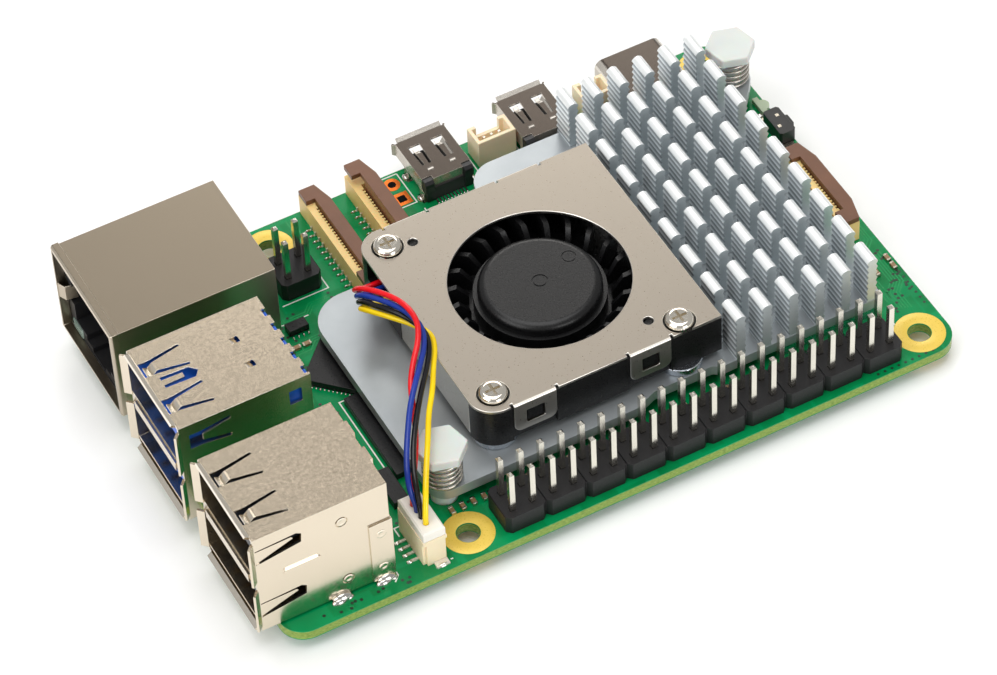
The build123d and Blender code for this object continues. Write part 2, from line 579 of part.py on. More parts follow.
with BuildPart(board) as camera_connector_bodies:
    ribbon_body("camera_0")
    ribbon_body("camera_1")
camera_connector_bodies.part.label = "camera_connector_bodies"
export_step(camera_connector_bodies.part, "parts/camera_connector_bodies.step")

with BuildPart(board) as pcie_connector_body:
    ribbon_body("pcie")
pcie_connector_body.part.label = "pcie_connector_body"
export_step(pcie_connector_body.part, "parts/pcie_connector_body.step")

with BuildPart(board) as camera_0_latch:
    ribbon_latch("camera_0", 0)
camera_0_latch.part.label = "camera_0_latch"
export_step(camera_0_latch.part, "parts/camera_0_latch.step")

# The second camera latch stands open.
with BuildPart(board) as camera_1_latch:
    ribbon_latch("camera_1", RIBBON_TRAVEL)
camera_1_latch.part.label = "camera_1_latch"
export_step(camera_1_latch.part, "parts/camera_1_latch.step")

with BuildPart(board) as pcie_latch:
    ribbon_latch("pcie", 0)
pcie_latch.part.label = "pcie_latch"
export_step(pcie_latch.part, "parts/pcie_latch.step")

# Gull-wing tails, alternately on either side of each body.
with BuildPart(board) as ribbon_contacts:
    for name, face in RIBBON_FACES.items():
        ways = RIBBON_WAYS[name]
        middle = RIBBON_STARTS[name] + ribbon_length(ways) / 2
        for n in range(ways):
            y = middle + (n - (ways - 1) / 2) * 0.5
            if n % 2 == 0:
                block(face + 0.02, face + 0.75, y - 0.1, y + 0.1, 0.0, 0.15)
                block(face + 0.02, face + 0.22, y - 0.1, y + 0.1, 0.0, 0.6)
            else:
                block(face - 3.5, face - 2.82, y - 0.1, y + 0.1, 0.0, 0.15)
ribbon_contacts.part.label = "ribbon_contacts"
export_step(ribbon_contacts.part, "parts/ribbon_contacts.step")


# ---------------------------------------------------------------- small wire headers
def wire_header(x0, x1, y0, y1, height):
    """Open-topped box with a key slot at both ends."""
    block(x0, x1, y0, y1, 0, height)
    block(x0 + 0.45, x1 - 0.45, y0 + 0.45, y1 - 0.45, 1.0, height + 1, Mode.SUBTRACT)


debug_header = (29.3, 34.3, 1.6, 4.5, 4.0)
battery_header = (16.2, 20.2, 1.6, 4.5, 4.0)
fan_header = (65.0, 67.9, 48.35, 54.45, 4.0)
FAN_CONTACT_X = 66.7
fan_contact_rows = [49.95, 50.95, 51.95, 52.95]

with BuildPart(board) as debug_header_body:
    wire_header(*debug_header)
    block(30.3, 33.3, 1.5, 2.1, 2.4, 4.1, Mode.SUBTRACT)
debug_header_body.part.label = "debug_header_body"
export_step(debug_header_body.part, "parts/debug_header_body.step")

with BuildPart(board) as battery_header_body:
    wire_header(*battery_header)
    block(17.2, 19.2, 1.5, 2.1, 2.4, 4.1, Mode.SUBTRACT)
battery_header_body.part.label = "battery_header_body"
export_step(battery_header_body.part, "parts/battery_header_body.step")

with BuildPart(board) as fan_header_body:
    wire_header(*fan_header)
    # Grooves down the outer corners, where the moulding is cored out.
    block(67.5, 68.0, 54.1, 54.6, 0, 3.4, Mode.SUBTRACT)
    block(64.9, 65.2, 54.1, 54.6, 0, 3.4, Mode.SUBTRACT)
fan_header_body.part.label = "fan_header_body"
export_step(fan_header_body.part, "parts/fan_header_body.step")

with BuildPart(board) as wire_header_contacts:
    for n in range(3):
        block(30.65 + n, 30.95 + n, 2.9, 3.2, 1.0, 3.2)
        block(30.65 + n, 30.95 + n, 4.52, 5.2, 0.0, 0.2)
    for n in range(2):
        block(17.55 + n, 17.85 + n, 2.9, 3.2, 1.0, 3.2)
        block(17.55 + n, 17.85 + n, 4.52, 5.2, 0.0, 0.2)
    for y in fan_contact_rows:
        block(FAN_CONTACT_X - 0.15, FAN_CONTACT_X + 0.15, y - 0.15, y + 0.15, 1.0, 1.35)
        block(67.92, 69.3, y - 0.15, y + 0.15, 0.0, 0.2)
    block(65.2, 66.8, 54.47, 55.35, 0.0, 0.25)
wire_header_contacts.part.label = "wire_header_contacts"
export_step(wire_header_contacts.part, "parts/wire_header_contacts.step")

PLUG_TOP = 5.35
plug_hole_bottom = PLUG_TOP - 0.9
with BuildPart(board) as fan_plug:
    block(65.5, 67.4, 48.85, 53.95, 1.4, 4.3)
    block(65.1, 67.8, 48.4, 54.4, 4.05, PLUG_TOP)
    chamfer(fan_plug.edges().group_by(Axis.Z)[-1], 0.2)
    for y in fan_contact_rows:
        rod(FAN_CONTACT_X, y, WIRE_DIAMETER / 2 + 0.03, plug_hole_bottom, PLUG_TOP + 1, Mode.SUBTRACT)
fan_plug.part.label = "fan_plug"
export_step(fan_plug.part, "parts/fan_plug.step")

# ---------------------------------------------------------------- fan wires
# Each wire leaves the slot in the fan's side, folds back over itself, crosses the cover's
# edge and drops into the plug.
fan_wire_routes = {
    "red": [(55.0, 20.9, 7.5), (57.4, 20.9, 7.5), (59.0, 21.0, 8.0), (58.8, 22.2, 9.6),
            (57.89, 24.39, 10.72), (56.89, 27.09, 11.71), (56.37, 29.67, 12.32), (56.41, 32.3, 12.39),
            (57.6, 34.7, 12.1), (59.43, 36.78, 11.6), (60.86, 38.75, 10.47), (61.7, 41.0, 9.7),
            (62.8, 43.6, 9.3), (63.9, 45.7, 9.0), (65.1, 47.6, 8.3), (66.3, 49.3, 7.2), (66.7, 49.95, 5.9),
            (66.7, 49.95, 4.5)],
    "blue": [(55.0, 21.8, 7.5), (57.5, 21.8, 7.5), (59.2, 21.9, 8.0), (59.01, 23.07, 9.43),
             (58.17, 25.27, 10.43), (57.16, 27.76, 11.25), (56.36, 30.31, 11.6), (56.1, 32.8, 11.62),
             (57.1, 35.1, 11.45), (58.77, 37.22, 11.3), (60.44, 39.25, 11.23), (62.2, 41.4, 10.9),
             (63.8, 43.9, 10.6), (65.1, 46.0, 10.2), (66.32, 48.19, 9.4), (66.95, 49.9, 7.9),
             (66.7, 50.95, 5.9), (66.7, 50.95, 4.5)],
    "black": [(55.0, 22.7, 7.5), (57.6, 22.7, 7.5), (59.4, 22.8, 8.0), (59.31, 23.92, 9.28),
              (58.57, 26.06, 10.16), (57.53, 28.13, 10.68), (56.44, 30.2, 10.77), (55.8, 32.9, 10.88),
              (56.5, 35.1, 10.8), (58.0, 37.3, 10.6), (59.9, 39.7, 10.55), (61.7, 42.1, 10.4),
              (63.4, 44.6, 10.2), (64.78, 46.81, 9.85), (65.8, 48.9, 9.1), (66.45, 50.8, 7.8),
              (66.7, 51.95, 5.9), (66.7, 51.95, 4.5)],
    "yellow": [(55.0, 23.6, 7.5), (57.7, 23.6, 7.5), (59.6, 23.7, 8.0), (59.52, 24.92, 8.98),
               (58.73, 26.74, 9.63), (57.53, 28.63, 9.95), (56.19, 30.61, 10.06), (55.1, 32.9, 10.15),
               (55.8, 35.0, 10.1), (57.2, 37.2, 10.05), (58.8, 40.1, 10.0), (60.8, 42.9, 9.97),
               (62.4, 45.8, 9.9), (63.7, 48.0, 9.7), (64.9, 50.0, 9.2), (65.9, 51.7, 8.2),
               (66.6, 52.8, 6.5), (66.7, 52.95, 5.6), (66.7, 52.95, 4.5)],
}

for colour, route in fan_wire_routes.items():
    radii = bend_radii(route)
    with BuildPart() as fan_wire:
        with BuildLine(board) as wire_path:
            FilletPolyline(*route, radius=radii)
        with BuildSketch(Plane(wire_path.line @ 0, z_dir=wire_path.line % 0)):
            Circle(WIRE_DIAMETER / 2)
        sweep(path=wire_path.line)
    fan_wire.part.label = f"fan_wire_{colour}"
    export_step(fan_wire.part, f"parts/fan_wire_{colour}.step")
    wire_length = sum(edge.length for edge in wire_path.edges())
    ideal = pi * WIRE_DIAMETER**2 / 4 * wire_length
    print(colour, "length", round(wire_length, 1), "volume", round(fan_wire.part.volume / ideal, 4))
    print("  radii", [round(radius, 2) for radius in radii])

# ---------------------------------------------------------------- power button and status lamp
BUTTON_Y = 17.3
with BuildPart(board) as power_button_body:
    block(0.0, 2.1, BUTTON_Y - 2.15, BUTTON_Y + 2.15, 0, 2.0)
    chamfer(power_button_body.edges().filter_by(Axis.Z), 0.25)
    block(-0.1, 1.1, BUTTON_Y - 0.95, BUTTON_Y + 0.95, 0.45, 1.55, Mode.SUBTRACT)
power_button_body.part.label = "power_button_body"
export_step(power_button_body.part, "parts/power_button_body.step")

with BuildPart(board) as power_button_plunger:
    block(-0.55, 0.7, BUTTON_Y - 0.85, BUTTON_Y + 0.85, 0.55, 1.45)
    fillet(power_button_plunger.edges().filter_by(Axis.Z).group_by(Axis.X)[0], 0.2)
power_button_plunger.part.label = "power_button_plunger"
export_step(power_button_plunger.part, "parts/power_button_plunger.step")

LAMP_Y = 12.8
with BuildPart(board) as status_lamp:
    block(0.65, 1.35, LAMP_Y - 1.3, LAMP_Y + 1.3, 0, 0.65)
    with BuildSketch(board):
        with Locations((0.65, LAMP_Y)):
            Circle(0.8)
        with Locations((1.65, LAMP_Y)):
            Rectangle(2.0, 4.0, mode=Mode.SUBTRACT)
    extrude(amount=0.5)
status_lamp.part.label = "status_lamp"
export_step(status_lamp.part, "parts/status_lamp.step")

# ---------------------------------------------------------------- chips
PROCESSOR = (27.0, 27.0)
with BuildPart(board) as processor_package:
    block(PROCESSOR[0] - 8.5, PROCESSOR[0] + 8.5, PROCESSOR[1] - 8.5, PROCESSOR[1] + 8.5, 0, 0.65)
processor_package.part.label = "processor_package"
export_step(processor_package.part, "parts/processor_package.step")

with BuildPart(board) as processor_lid:
    block(PROCESSOR[0] - 7.0, PROCESSOR[0] + 7.0, PROCESSOR[1] - 7.0, PROCESSOR[1] + 7.0, 0.65, 1.25)
    chamfer(processor_lid.edges().group_by(Axis.Z)[-1], 0.15)
processor_lid.part.label = "processor_lid"
export_step(processor_lid.part, "parts/processor_lid.step")

with BuildPart(board) as memory_chip:
    block(38.2, 47.9, 20.0, 34.6, 0, 0.9)
memory_chip.part.label = "memory_chip"
export_step(memory_chip.part, "parts/memory_chip.step")

with BuildPart(board) as peripheral_chip:
    block(51.9, 64.8, 29.0, 41.9, 0, 0.95)
peripheral_chip.part.label = "peripheral_chip"
export_step(peripheral_chip.part, "parts/peripheral_chip.step")

with BuildPart(board) as wireless_module:
    block(6.4, 19.0, 36.6, 47.6, 0, 1.3)
    fillet(wireless_module.edges().filter_by(Axis.Z), 0.5)
    fillet(wireless_module.edges().group_by(Axis.Z)[-1], 0.15)
wireless_module.part.label = "wireless_module"
export_step(wireless_module.part, "parts/wireless_module.step")

# Network, power and audio chips, a small eight-leg chip and a dark choke behind the USB sockets.
with BuildPart(board) as small_chips:
    with Locations(Location((62.7, 24.1, 0.45), (0, 0, 45))):
        Box(6.8, 6.8, 0.9)
    block(63.1, 65.6, 15.7, 17.1, 0.1, 1.0)
    block(65.1, 67.0, 40.4, 45.6, 0, 1.1)
    block(8.6, 13.6, 17.0, 22.0, 0, 0.8)
    block(48.5, 51.3, 20.0, 23.0, 0, 0.8)
small_chips.part.label = "small_chips"
export_step(small_chips.part, "parts/small_chips.step")

# Chip capacitors and resistors: centre x, centre y and long side along x or y.
chip_parts = [(64.4 + 1.3 * (n % 2), 19.0 + 0.6 * (n // 2), "x") for n in range(2)]
chip_parts += [(66.4, 30.5 + 1.25 * n, "y") for n in range(7)]
chip_parts += [(69.0, 31.0 + 1.5 * n, "x") for n in range(6)]
chip_parts += [(22.5 + 1.35 * n, 49.0, "y") for n in range(30)]
chip_parts += [(38.4 + 1.45 * n, 8.4, "x") for n in range(3)]
chip_parts += [(41.6 + 1.5 * n, 12.6, "y") for n in range(4)]
chip_parts += [(0.75, 41.0, "y"), (0.75, 42.4, "y"), (3.0, 42.4, "y"), (4.3, 19.6, "x"), (4.3, 20.8, "x")]
chip_parts += [(69.8, 45.2, "y"), (69.8, 46.7, "y"), (68.6, 46.7, "y")]

with BuildPart(board) as chip_capacitors:
    for x, y, along in chip_parts:
        half_x, half_y = (0.5, 0.25) if along == "x" else (0.25, 0.5)
        block(x - half_x, x + half_x, y - half_y, y + half_y, 0, 0.4)
chip_capacitors.part.label = "chip_capacitors"
export_step(chip_capacitors.part, "parts/chip_capacitors.step")

with BuildPart(board) as power_inductors:
    for x, y in ((8.2, 26.6), (8.2, 30.2), (12.4, 25.6), (20.6, 14.2), (24.2, 14.2)):
        block(x - 1.3, x + 1.3, y - 1.3, y + 1.3, 0, 1.3)
    chamfer(power_inductors.edges().filter_by(Axis.Z), 0.3)
power_inductors.part.label = "power_inductors"
export_step(power_inductors.part, "parts/power_inductors.step")

# ---------------------------------------------------------------- memory card socket, underneath
SLOT_Y = 28.0
with BuildPart(board) as microsd_base:
    block(1.2, 13.8, SLOT_Y - 5.7, SLOT_Y + 5.7, UNDERSIDE - 0.35, UNDERSIDE)
    block(12.6, 13.8, SLOT_Y - 5.7, SLOT_Y + 5.7, UNDERSIDE - 1.25, UNDERSIDE)
microsd_base.part.label = "microsd_base"
export_step(microsd_base.part, "parts/microsd_base.step")

with BuildPart(board) as microsd_shell:
    block(0.3, 14.2, SLOT_Y - 6.0, SLOT_Y + 6.0, TAIL_BOTTOM, UNDERSIDE - 0.02)
    block(0.0, 14.0, SLOT_Y - 5.8, SLOT_Y + 5.8, TAIL_BOTTOM + 0.2, UNDERSIDE + 1, Mode.SUBTRACT)
    for y in (SLOT_Y - 2.6, SLOT_Y + 2.6):
        block(5.0, 9.0, y - 0.8, y - 0.6, TAIL_BOTTOM - 1, TAIL_BOTTOM + 0.5, Mode.SUBTRACT)
        block(5.0, 9.0, y + 0.6, y + 0.8, TAIL_BOTTOM - 1, TAIL_BOTTOM + 0.5, Mode.SUBTRACT)
        block(5.0, 5.2, y - 0.8, y + 0.8, TAIL_BOTTOM - 1, TAIL_BOTTOM + 0.5, Mode.SUBTRACT)
microsd_shell.part.label = "microsd_shell"
export_step(microsd_shell.part, "parts/microsd_shell.step")

# ---------------------------------------------------------------- heatsink
# Corners of the base plate and their radii, from the corner beside the network socket.
plate_corners = {
    (63.2, 16.4): 4.5,
    (63.2, 48.5): 2.3,
    (38.0, 48.5): 1.0,
    (35.0, 47.3): 1.0,
    (27.6, 47.3): 0.5,
    (26.8, 47.9): 0.5,
    (5.6, 47.9): 0.8,
    (5.6, 16.35): 1.5,
    (-2.1, 6.75): 2.5,
    (37.6, 6.75): 3.6,
    (37.6, 16.4): 2.0,
}
RIB_COUNT = 7
RIB_DEPTH = 0.22

fin_half = FIN_THICKNESS / 2
rib_pitch = (FIN_TOP - 0.5 - PLATE_TOP) / RIB_COUNT
rib_levels = [PLATE_TOP - 0.3] + [PLATE_TOP + rib_pitch * n / 2 for n in range(1, 2 * RIB_COUNT + 1)]
rib_widths = [fin_half] + [fin_half - RIB_DEPTH * (n % 2) for n in range(1, 2 * RIB_COUNT + 1)]
rib_profile = list(zip(rib_widths, rib_levels))

# One fin: ribbed on both broad sides, with a rounded top.
with BuildPart() as fin:
    with BuildSketch(Plane(origin=(0, FIN_LENGTH / 2, 0), x_dir=(1, 0, 0), z_dir=(0, -1, 0))):
        with BuildLine():
            Polyline(*rib_profile)
            ThreePointArc(rib_profile[-1], (0, FIN_TOP), (-rib_profile[-1][0], rib_profile[-1][1]))
            Polyline(*[(-width, level) for width, level in reversed(rib_profile)])
            Line((-rib_profile[0][0], rib_profile[0][1]), rib_profile[0])
        make_face()
    extrude(amount=FIN_LENGTH)

fin_spots = [
    (FIN_GRID_CENTRE[0] + (column - (FIN_COLUMNS - 1) / 2) * FIN_PITCH_X,
     FIN_GRID_CENTRE[1] + (row - (FIN_ROWS - 1) / 2) * FIN_PITCH_Y, 0)
    for column in range(FIN_COLUMNS)
    for row in range(FIN_ROWS)
]

with BuildPart(board) as heatsink:
    with BuildSketch(board.offset(PLATE_BOTTOM)):
        with BuildLine():
            FilletPolyline(*plate_corners.keys(), radius=list(plate_corners.values()), close=True)
        make_face()
        with Locations(*PUSH_PINS.values()):
            Circle(PUSH_PIN_HOLE, mode=Mode.SUBTRACT)
        with Locations(*FAN_SCREWS):
            Circle(SCREW_RADIUS, mode=Mode.SUBTRACT)
    extrude(amount=PLATE_TOP - PLATE_BOTTOM)
    for name in ("camera_0", "camera_1"):
        face = RIBBON_FACES[name]
        end = RIBBON_STARTS[name] + ribbon_length(RIBBON_WAYS[name])
        block(face - 2.35, face + 0.3, 15, end + 0.3, PLATE_BOTTOM, PLATE_TOP, Mode.SUBTRACT)
    with Locations(*fin_spots):
        add(fin.part)
heatsink.part.label = "heatsink"
export_step(heatsink.part, "parts/heatsink.step")

with BuildPart(board) as thermal_pads:
    block(PROCESSOR[0] - 6.5, PROCESSOR[0] + 6.5, PROCESSOR[1] - 6.5, PROCESSOR[1] + 6.5, 1.25, PLATE_BOTTOM)
    block(52.4, 62.8, 29.5, 41.4, 0.95, PLATE_BOTTOM)
    block(7.0, 18.4, 37.2, 47.0, 1.3, PLATE_BOTTOM)
    block(8.8, 13.4, 17.2, 21.8, 0.8, PLATE_BOTTOM)
thermal_pads.part.label = "thermal_pads"
export_step(thermal_pads.part, "parts/thermal_pads.step")

# ---------------------------------------------------------------- push pins and their springs
SPRING_WIRE = 0.4
SPRING_MEAN_RADIUS = 2.1
SPRING_TURNS = 5
spring_low = PLATE_TOP + SPRING_WIRE / 2 + 0.02
spring_high = PUSH_PIN_HEAD_BOTTOM - SPRING_WIRE / 2 - 0.02
spring_pitch = (spring_high - spring_low) / SPRING_TURNS

for name, (pin_x, pin_y) in PUSH_PINS.items():
    with BuildPart(board) as push_pin:
        with BuildSketch(board.offset(PUSH_PIN_HEAD_BOTTOM)):
            with Locations((pin_x, pin_y)):
                RegularPolygon(3.05, 6, rotation=43)
        extrude(amount=PUSH_PIN_HEAD_TOP - PUSH_PIN_HEAD_BOTTOM)
        fillet(push_pin.edges().filter_by(Axis.Z), 0.35)
        fillet(push_pin.edges().group_by(Axis.Z)[-1], 0.18)
        rod(pin_x, pin_y, PUSH_PIN_RADIUS, UNDERSIDE - 0.3, PUSH_PIN_HEAD_BOTTOM)
        # Barbs under the board, with a cross slot so that they can close.
        with Locations((pin_x, pin_y, UNDERSIDE - 0.7)):
            Cone(1.1, 1.95, 1.2)
        block(pin_x - 0.25, pin_x + 0.25, pin_y - 3, pin_y + 3, UNDERSIDE - 2, UNDERSIDE - 0.1, Mode.SUBTRACT)
    push_pin.part.label = name
    export_step(push_pin.part, f"parts/{name}.step")

    helix_start = board.origin + Vector(pin_x, pin_y, spring_low)
    with BuildPart() as push_pin_spring:
        with BuildLine() as coil:
            Helix(spring_pitch, spring_high - spring_low, SPRING_MEAN_RADIUS, center=helix_start)
        with BuildSketch(Plane(coil.line @ 0, z_dir=coil.line % 0)):
            Circle(SPRING_WIRE / 2)
        sweep(path=coil.line, is_frenet=True)
    spring_name = name.replace("push_pin", "push_pin_spring")
    push_pin_spring.part.label = spring_name
    export_step(push_pin_spring.part, f"parts/{spring_name}.step")

# ---------------------------------------------------------------- fan
SCREW_HOLE = 0.9
latch_clearance = RIBBON_STARTS["camera_0"] + ribbon_length(RIBBON_WAYS["camera_0"]) + 0.3
fan_x, fan_y = FAN_CENTRE

with BuildPart(board) as fan_standoffs:
    for x, y in FAN_SCREWS:
        rod(x, y, 2.6, PLATE_TOP, FAN_FLOOR)
        rod(x, y, SCREW_RADIUS, PLATE_TOP, FAN_FLOOR, Mode.SUBTRACT)
    # The back one is cut flat, clear of the camera connector's latch.
    block(50, 57, 15, latch_clearance, PLATE_TOP, FAN_FLOOR, Mode.SUBTRACT)
fan_standoffs.part.label = "fan_standoffs"
export_step(fan_standoffs.part, "parts/fan_standoffs.step")

with BuildPart(board) as fan_screws:
    for x, y in FAN_SCREWS:
        rod(x, y, SCREW_RADIUS, PLATE_BOTTOM + 0.2, COVER_BOTTOM)
        with Locations((x, y, COVER_BOTTOM + 0.55)):
            Cylinder(SCREW_HEAD_RADIUS, 1.1)
    fillet(fan_screws.edges().filter_by(GeomType.CIRCLE).group_by(Axis.Z)[-1], 0.6)
    for x, y in FAN_SCREWS:
        block(x - 0.9, x + 0.9, y - 0.17, y + 0.17, COVER_BOTTOM + 0.45, COVER_BOTTOM + 2, Mode.SUBTRACT)
        block(x - 0.17, x + 0.17, y - 0.9, y + 0.9, COVER_BOTTOM + 0.45, COVER_BOTTOM + 2, Mode.SUBTRACT)
fan_screws.part.label = "fan_screws"
export_step(fan_screws.part, "parts/fan_screws.step")

WALL = 0.9
CLIP_SPANS = ((32.3, 37.5), (46.8, 52.1))
CLIP_BOTTOM = 5.2
SLOT_LOW, SLOT_HIGH = 18.9, 26.6
FLANGE_LOW, FLANGE_HIGH = 27.0, 43.2
FLANGE_THICKNESS = 0.3

with BuildPart(board) as fan_housing:
    block(FAN_LEFT, FAN_RIGHT, FAN_BACK, FAN_FRONT, FAN_FLOOR, COVER_BOTTOM - 0.02)
    fillet(fan_housing.edges().filter_by(Axis.Z).group_by(Axis.X)[-1], 3.0)
    # Open space for the rotor and its scroll, running out to the open left side.
    rod(fan_x, fan_y, 13.3, FAN_FLOOR + 0.6, COVER_BOTTOM, Mode.SUBTRACT)
    block(FAN_LEFT - 1, fan_x, FAN_BACK + WALL, FAN_FRONT - 4.6, FAN_FLOOR + 0.6, COVER_BOTTOM, Mode.SUBTRACT)
    block(FAN_LEFT - 1, 27.0, FAN_BACK + WALL, 40.5, FAN_FLOOR - 1, COVER_BOTTOM, Mode.SUBTRACT)
    # Cored-out corner beside the wires, and the slot that they leave by.
    block(48.5, FAN_RIGHT - WALL, 21.2, 24.6, FAN_FLOOR + 0.6, COVER_BOTTOM, Mode.SUBTRACT)
    block(FAN_RIGHT - 2, FAN_RIGHT + 1, SLOT_LOW, SLOT_HIGH, 6.4, COVER_BOTTOM, Mode.SUBTRACT)
    # Set back behind the cover's side flange.
    block(FAN_RIGHT - FLANGE_THICKNESS - 0.03, FAN_RIGHT + 1, FLANGE_LOW - 0.1, FLANGE_HIGH + 0.1, FAN_FLOOR - 1,
          COVER_BOTTOM, Mode.SUBTRACT)
    # Flats for the cover's clips, with a catch in the middle of each.
    for x0, x1 in CLIP_SPANS:
        for y0, y1, catch in ((FAN_FRONT - 0.4, FAN_FRONT + 1, FAN_FRONT - 0.4), (FAN_BACK - 1, FAN_BACK + 0.4, FAN_BACK + 0.05)):
            block(x0 - 0.1, x1 + 0.1, y0, y1, FAN_FLOOR, COVER_BOTTOM, Mode.SUBTRACT)
            block(x0 + 1.7, x1 - 1.7, catch - 0.05, catch + 0.4, 6.4, 7.9)
    # Space inside the front wall, between the posts.
    block(33.2, 50.2, FAN_FRONT - 3.2, FAN_FRONT - 1.3, FAN_FLOOR + 0.6, COVER_BOTTOM, Mode.SUBTRACT)
    # Bearing tube.
    rod(fan_x, fan_y, 2.2, FAN_FLOOR, 7.6)
    rod(fan_x, fan_y, 1.5, FAN_FLOOR + 0.5, COVER_BOTTOM, Mode.SUBTRACT)
    for x, y in FAN_SCREWS:
        rod(x, y, SCREW_HOLE, FAN_FLOOR - 1, COVER_BOTTOM + 1, Mode.SUBTRACT)
    # Step over the ends of the camera latches, which may stand open.
    block(46.5, 57, FAN_BACK - 1, latch_clearance, FAN_FLOOR - 1, 5.2, Mode.SUBTRACT)
fan_housing.part.label = "fan_housing"
export_step(fan_housing.part, "parts/fan_housing.step")

with BuildPart(board) as fan_cover:
    block(FAN_LEFT, FAN_RIGHT, FAN_BACK, FAN_FRONT, COVER_BOTTOM, COVER_TOP)
    fillet(fan_cover.edges().filter_by(Axis.Z).group_by(Axis.X)[-1], 3.0)
    # Clips folded down over the front and the back, with a notch at either side of each.
    for x0, x1 in CLIP_SPANS:
        for y0, y1 in ((FAN_FRONT - 0.24, FAN_FRONT + 0.12), (FAN_BACK - 0.12, FAN_BACK + 0.24)):
            block(x0, x1, y0, y1, CLIP_BOTTOM, COVER_TOP)
            block(x0 - 0.35, x0, y0 - 0.2, y1 + 0.2, COVER_BOTTOM - 1, COVER_TOP + 1, Mode.SUBTRACT)
            block(x1, x1 + 0.35, y0 - 0.2, y1 + 0.2, COVER_BOTTOM - 1, COVER_TOP + 1, Mode.SUBTRACT)
            block(x0 + 1.5, x1 - 1.5, y0 - 1, y1 + 1, 6.15, 8.15, Mode.SUBTRACT)
    fillet(fan_cover.edges().filter_by(Axis.Y).group_by(Axis.Z)[0], 1.0)
    top_edges = fan_cover.edges().filter_by(Axis.X).group_by(Axis.Z)[-1]
    fillet(top_edges.group_by(Axis.Y)[-1] + top_edges.group_by(Axis.Y)[0], 0.3)
    # Side flange below the wires.
    block(FAN_RIGHT - FLANGE_THICKNESS, FAN_RIGHT, FLANGE_LOW, FLANGE_HIGH, FAN_FLOOR + 0.3, COVER_BOTTOM)
    rod(fan_x, fan_y, INLET_RADIUS, COVER_BOTTOM - 1, COVER_TOP + 1, Mode.SUBTRACT)
    for x, y in FAN_SCREWS:
        rod(x, y, SCREW_HEAD_RADIUS + 0.2, COVER_BOTTOM - 1, COVER_TOP + 1, Mode.SUBTRACT)
    for x, y in ((50.3, 19.1), (33.2, 42.9)):
        rod(x, y, 0.6, COVER_BOTTOM - 1, COVER_TOP + 1, Mode.SUBTRACT)
fan_cover.part.label = "fan_cover"
export_step(fan_cover.part, "parts/fan_cover.step")

HUB_TOP = 9.3
HUB_BOTTOM = 5.0
BLADE_BOTTOM = 5.0
BLADE_TOP = 8.5
BLADE_ROOT_RADIUS = 8.1
BLADE_TIP_RADIUS = 12.6
blade_plane = board.offset(BLADE_BOTTOM)

with BuildPart(board) as fan_rotor:
    with BuildSketch(blade_plane):
        for n in range(BLADE_COUNT):
            turn = 2 * pi * n / BLADE_COUNT
            lean = (0.0, 0.06, 0.19)
            reach = (BLADE_ROOT_RADIUS, 9.9, BLADE_TIP_RADIUS)
            spine = [(fan_x + r * cos(turn + a), fan_y + r * sin(turn + a)) for r, a in zip(reach, lean)]
            with BuildLine() as blade_line:
                ThreePointArc(*spine)
            trace(blade_line.line, 0.6)
    extrude(amount=BLADE_TOP - BLADE_BOTTOM)
    # The blades' inner ends slope down towards the hub.
    with Locations((fan_x, fan_y, BLADE_TOP - 1)):
        Cone(BLADE_ROOT_RADIUS - 0.2, BLADE_ROOT_RADIUS + 1.3, 2.01, mode=Mode.SUBTRACT)
    # Ring disc that carries the blades.
    with BuildSketch(blade_plane):
        with Locations(FAN_CENTRE):
            Circle(BLADE_ROOT_RADIUS + 0.9)
            Circle(HUB_RADIUS - 0.3, mode=Mode.SUBTRACT)
    extrude(amount=0.5)
    rod(fan_x, fan_y, HUB_FOOT_RADIUS, HUB_BOTTOM, HUB_TOP - 1.5)
    rod(fan_x, fan_y, HUB_RADIUS, HUB_BOTTOM, HUB_TOP)
    fillet(fan_rotor.edges().group_by(Axis.Z)[-1], 1.0)
    rod(fan_x, fan_y, HUB_RADIUS - 0.6, HUB_BOTTOM - 1, HUB_TOP - 1.0, Mode.SUBTRACT)
    # Boss that grips the shaft.
    rod(fan_x, fan_y, 1.6, HUB_TOP - 1.5, HUB_TOP - 0.9)
    rod(fan_x, fan_y, 0.75, HUB_TOP - 1.6, HUB_TOP - 0.5, Mode.SUBTRACT)
    # Shallow moulding marks on the hub's face.
    with BuildSketch(board.offset(HUB_TOP)) as marks:
        with Locations(FAN_CENTRE):
            Circle(0.95)
            Circle(0.75, mode=Mode.SUBTRACT)
        with Locations((fan_x - 4.6, fan_y - 1.6)):
            Circle(0.85)
            Circle(0.75, mode=Mode.SUBTRACT)
    extrude(marks.sketch, amount=-0.08, mode=Mode.SUBTRACT)
fan_rotor.part.label = "fan_rotor"
export_step(fan_rotor.part, "parts/fan_rotor.step")

with BuildPart(board) as fan_shaft:
    rod(fan_x, fan_y, 0.75, FAN_FLOOR + 0.6, HUB_TOP - 0.5)
    chamfer(fan_shaft.edges().group_by(Axis.Z)[0], 0.2)
fan_shaft.part.label = "fan_shaft"
export_step(fan_shaft.part, "parts/fan_shaft.step")

with BuildPart(board) as fan_magnet:
    rod(fan_x, fan_y, HUB_RADIUS - 0.62, HUB_BOTTOM + 0.2, 8.2)
    rod(fan_x, fan_y, 5.7, HUB_BOTTOM, 9, Mode.SUBTRACT)
fan_magnet.part.label = "fan_magnet"
export_step(fan_magnet.part, "parts/fan_magnet.step")

with BuildPart(board) as fan_bearing:
    rod(fan_x, fan_y, 1.49, FAN_FLOOR + 0.52, 7.55)
    rod(fan_x, fan_y, 0.80, FAN_FLOOR, 9, Mode.SUBTRACT)
fan_bearing.part.label = "fan_bearing"
export_step(fan_bearing.part, "parts/fan_bearing.step")

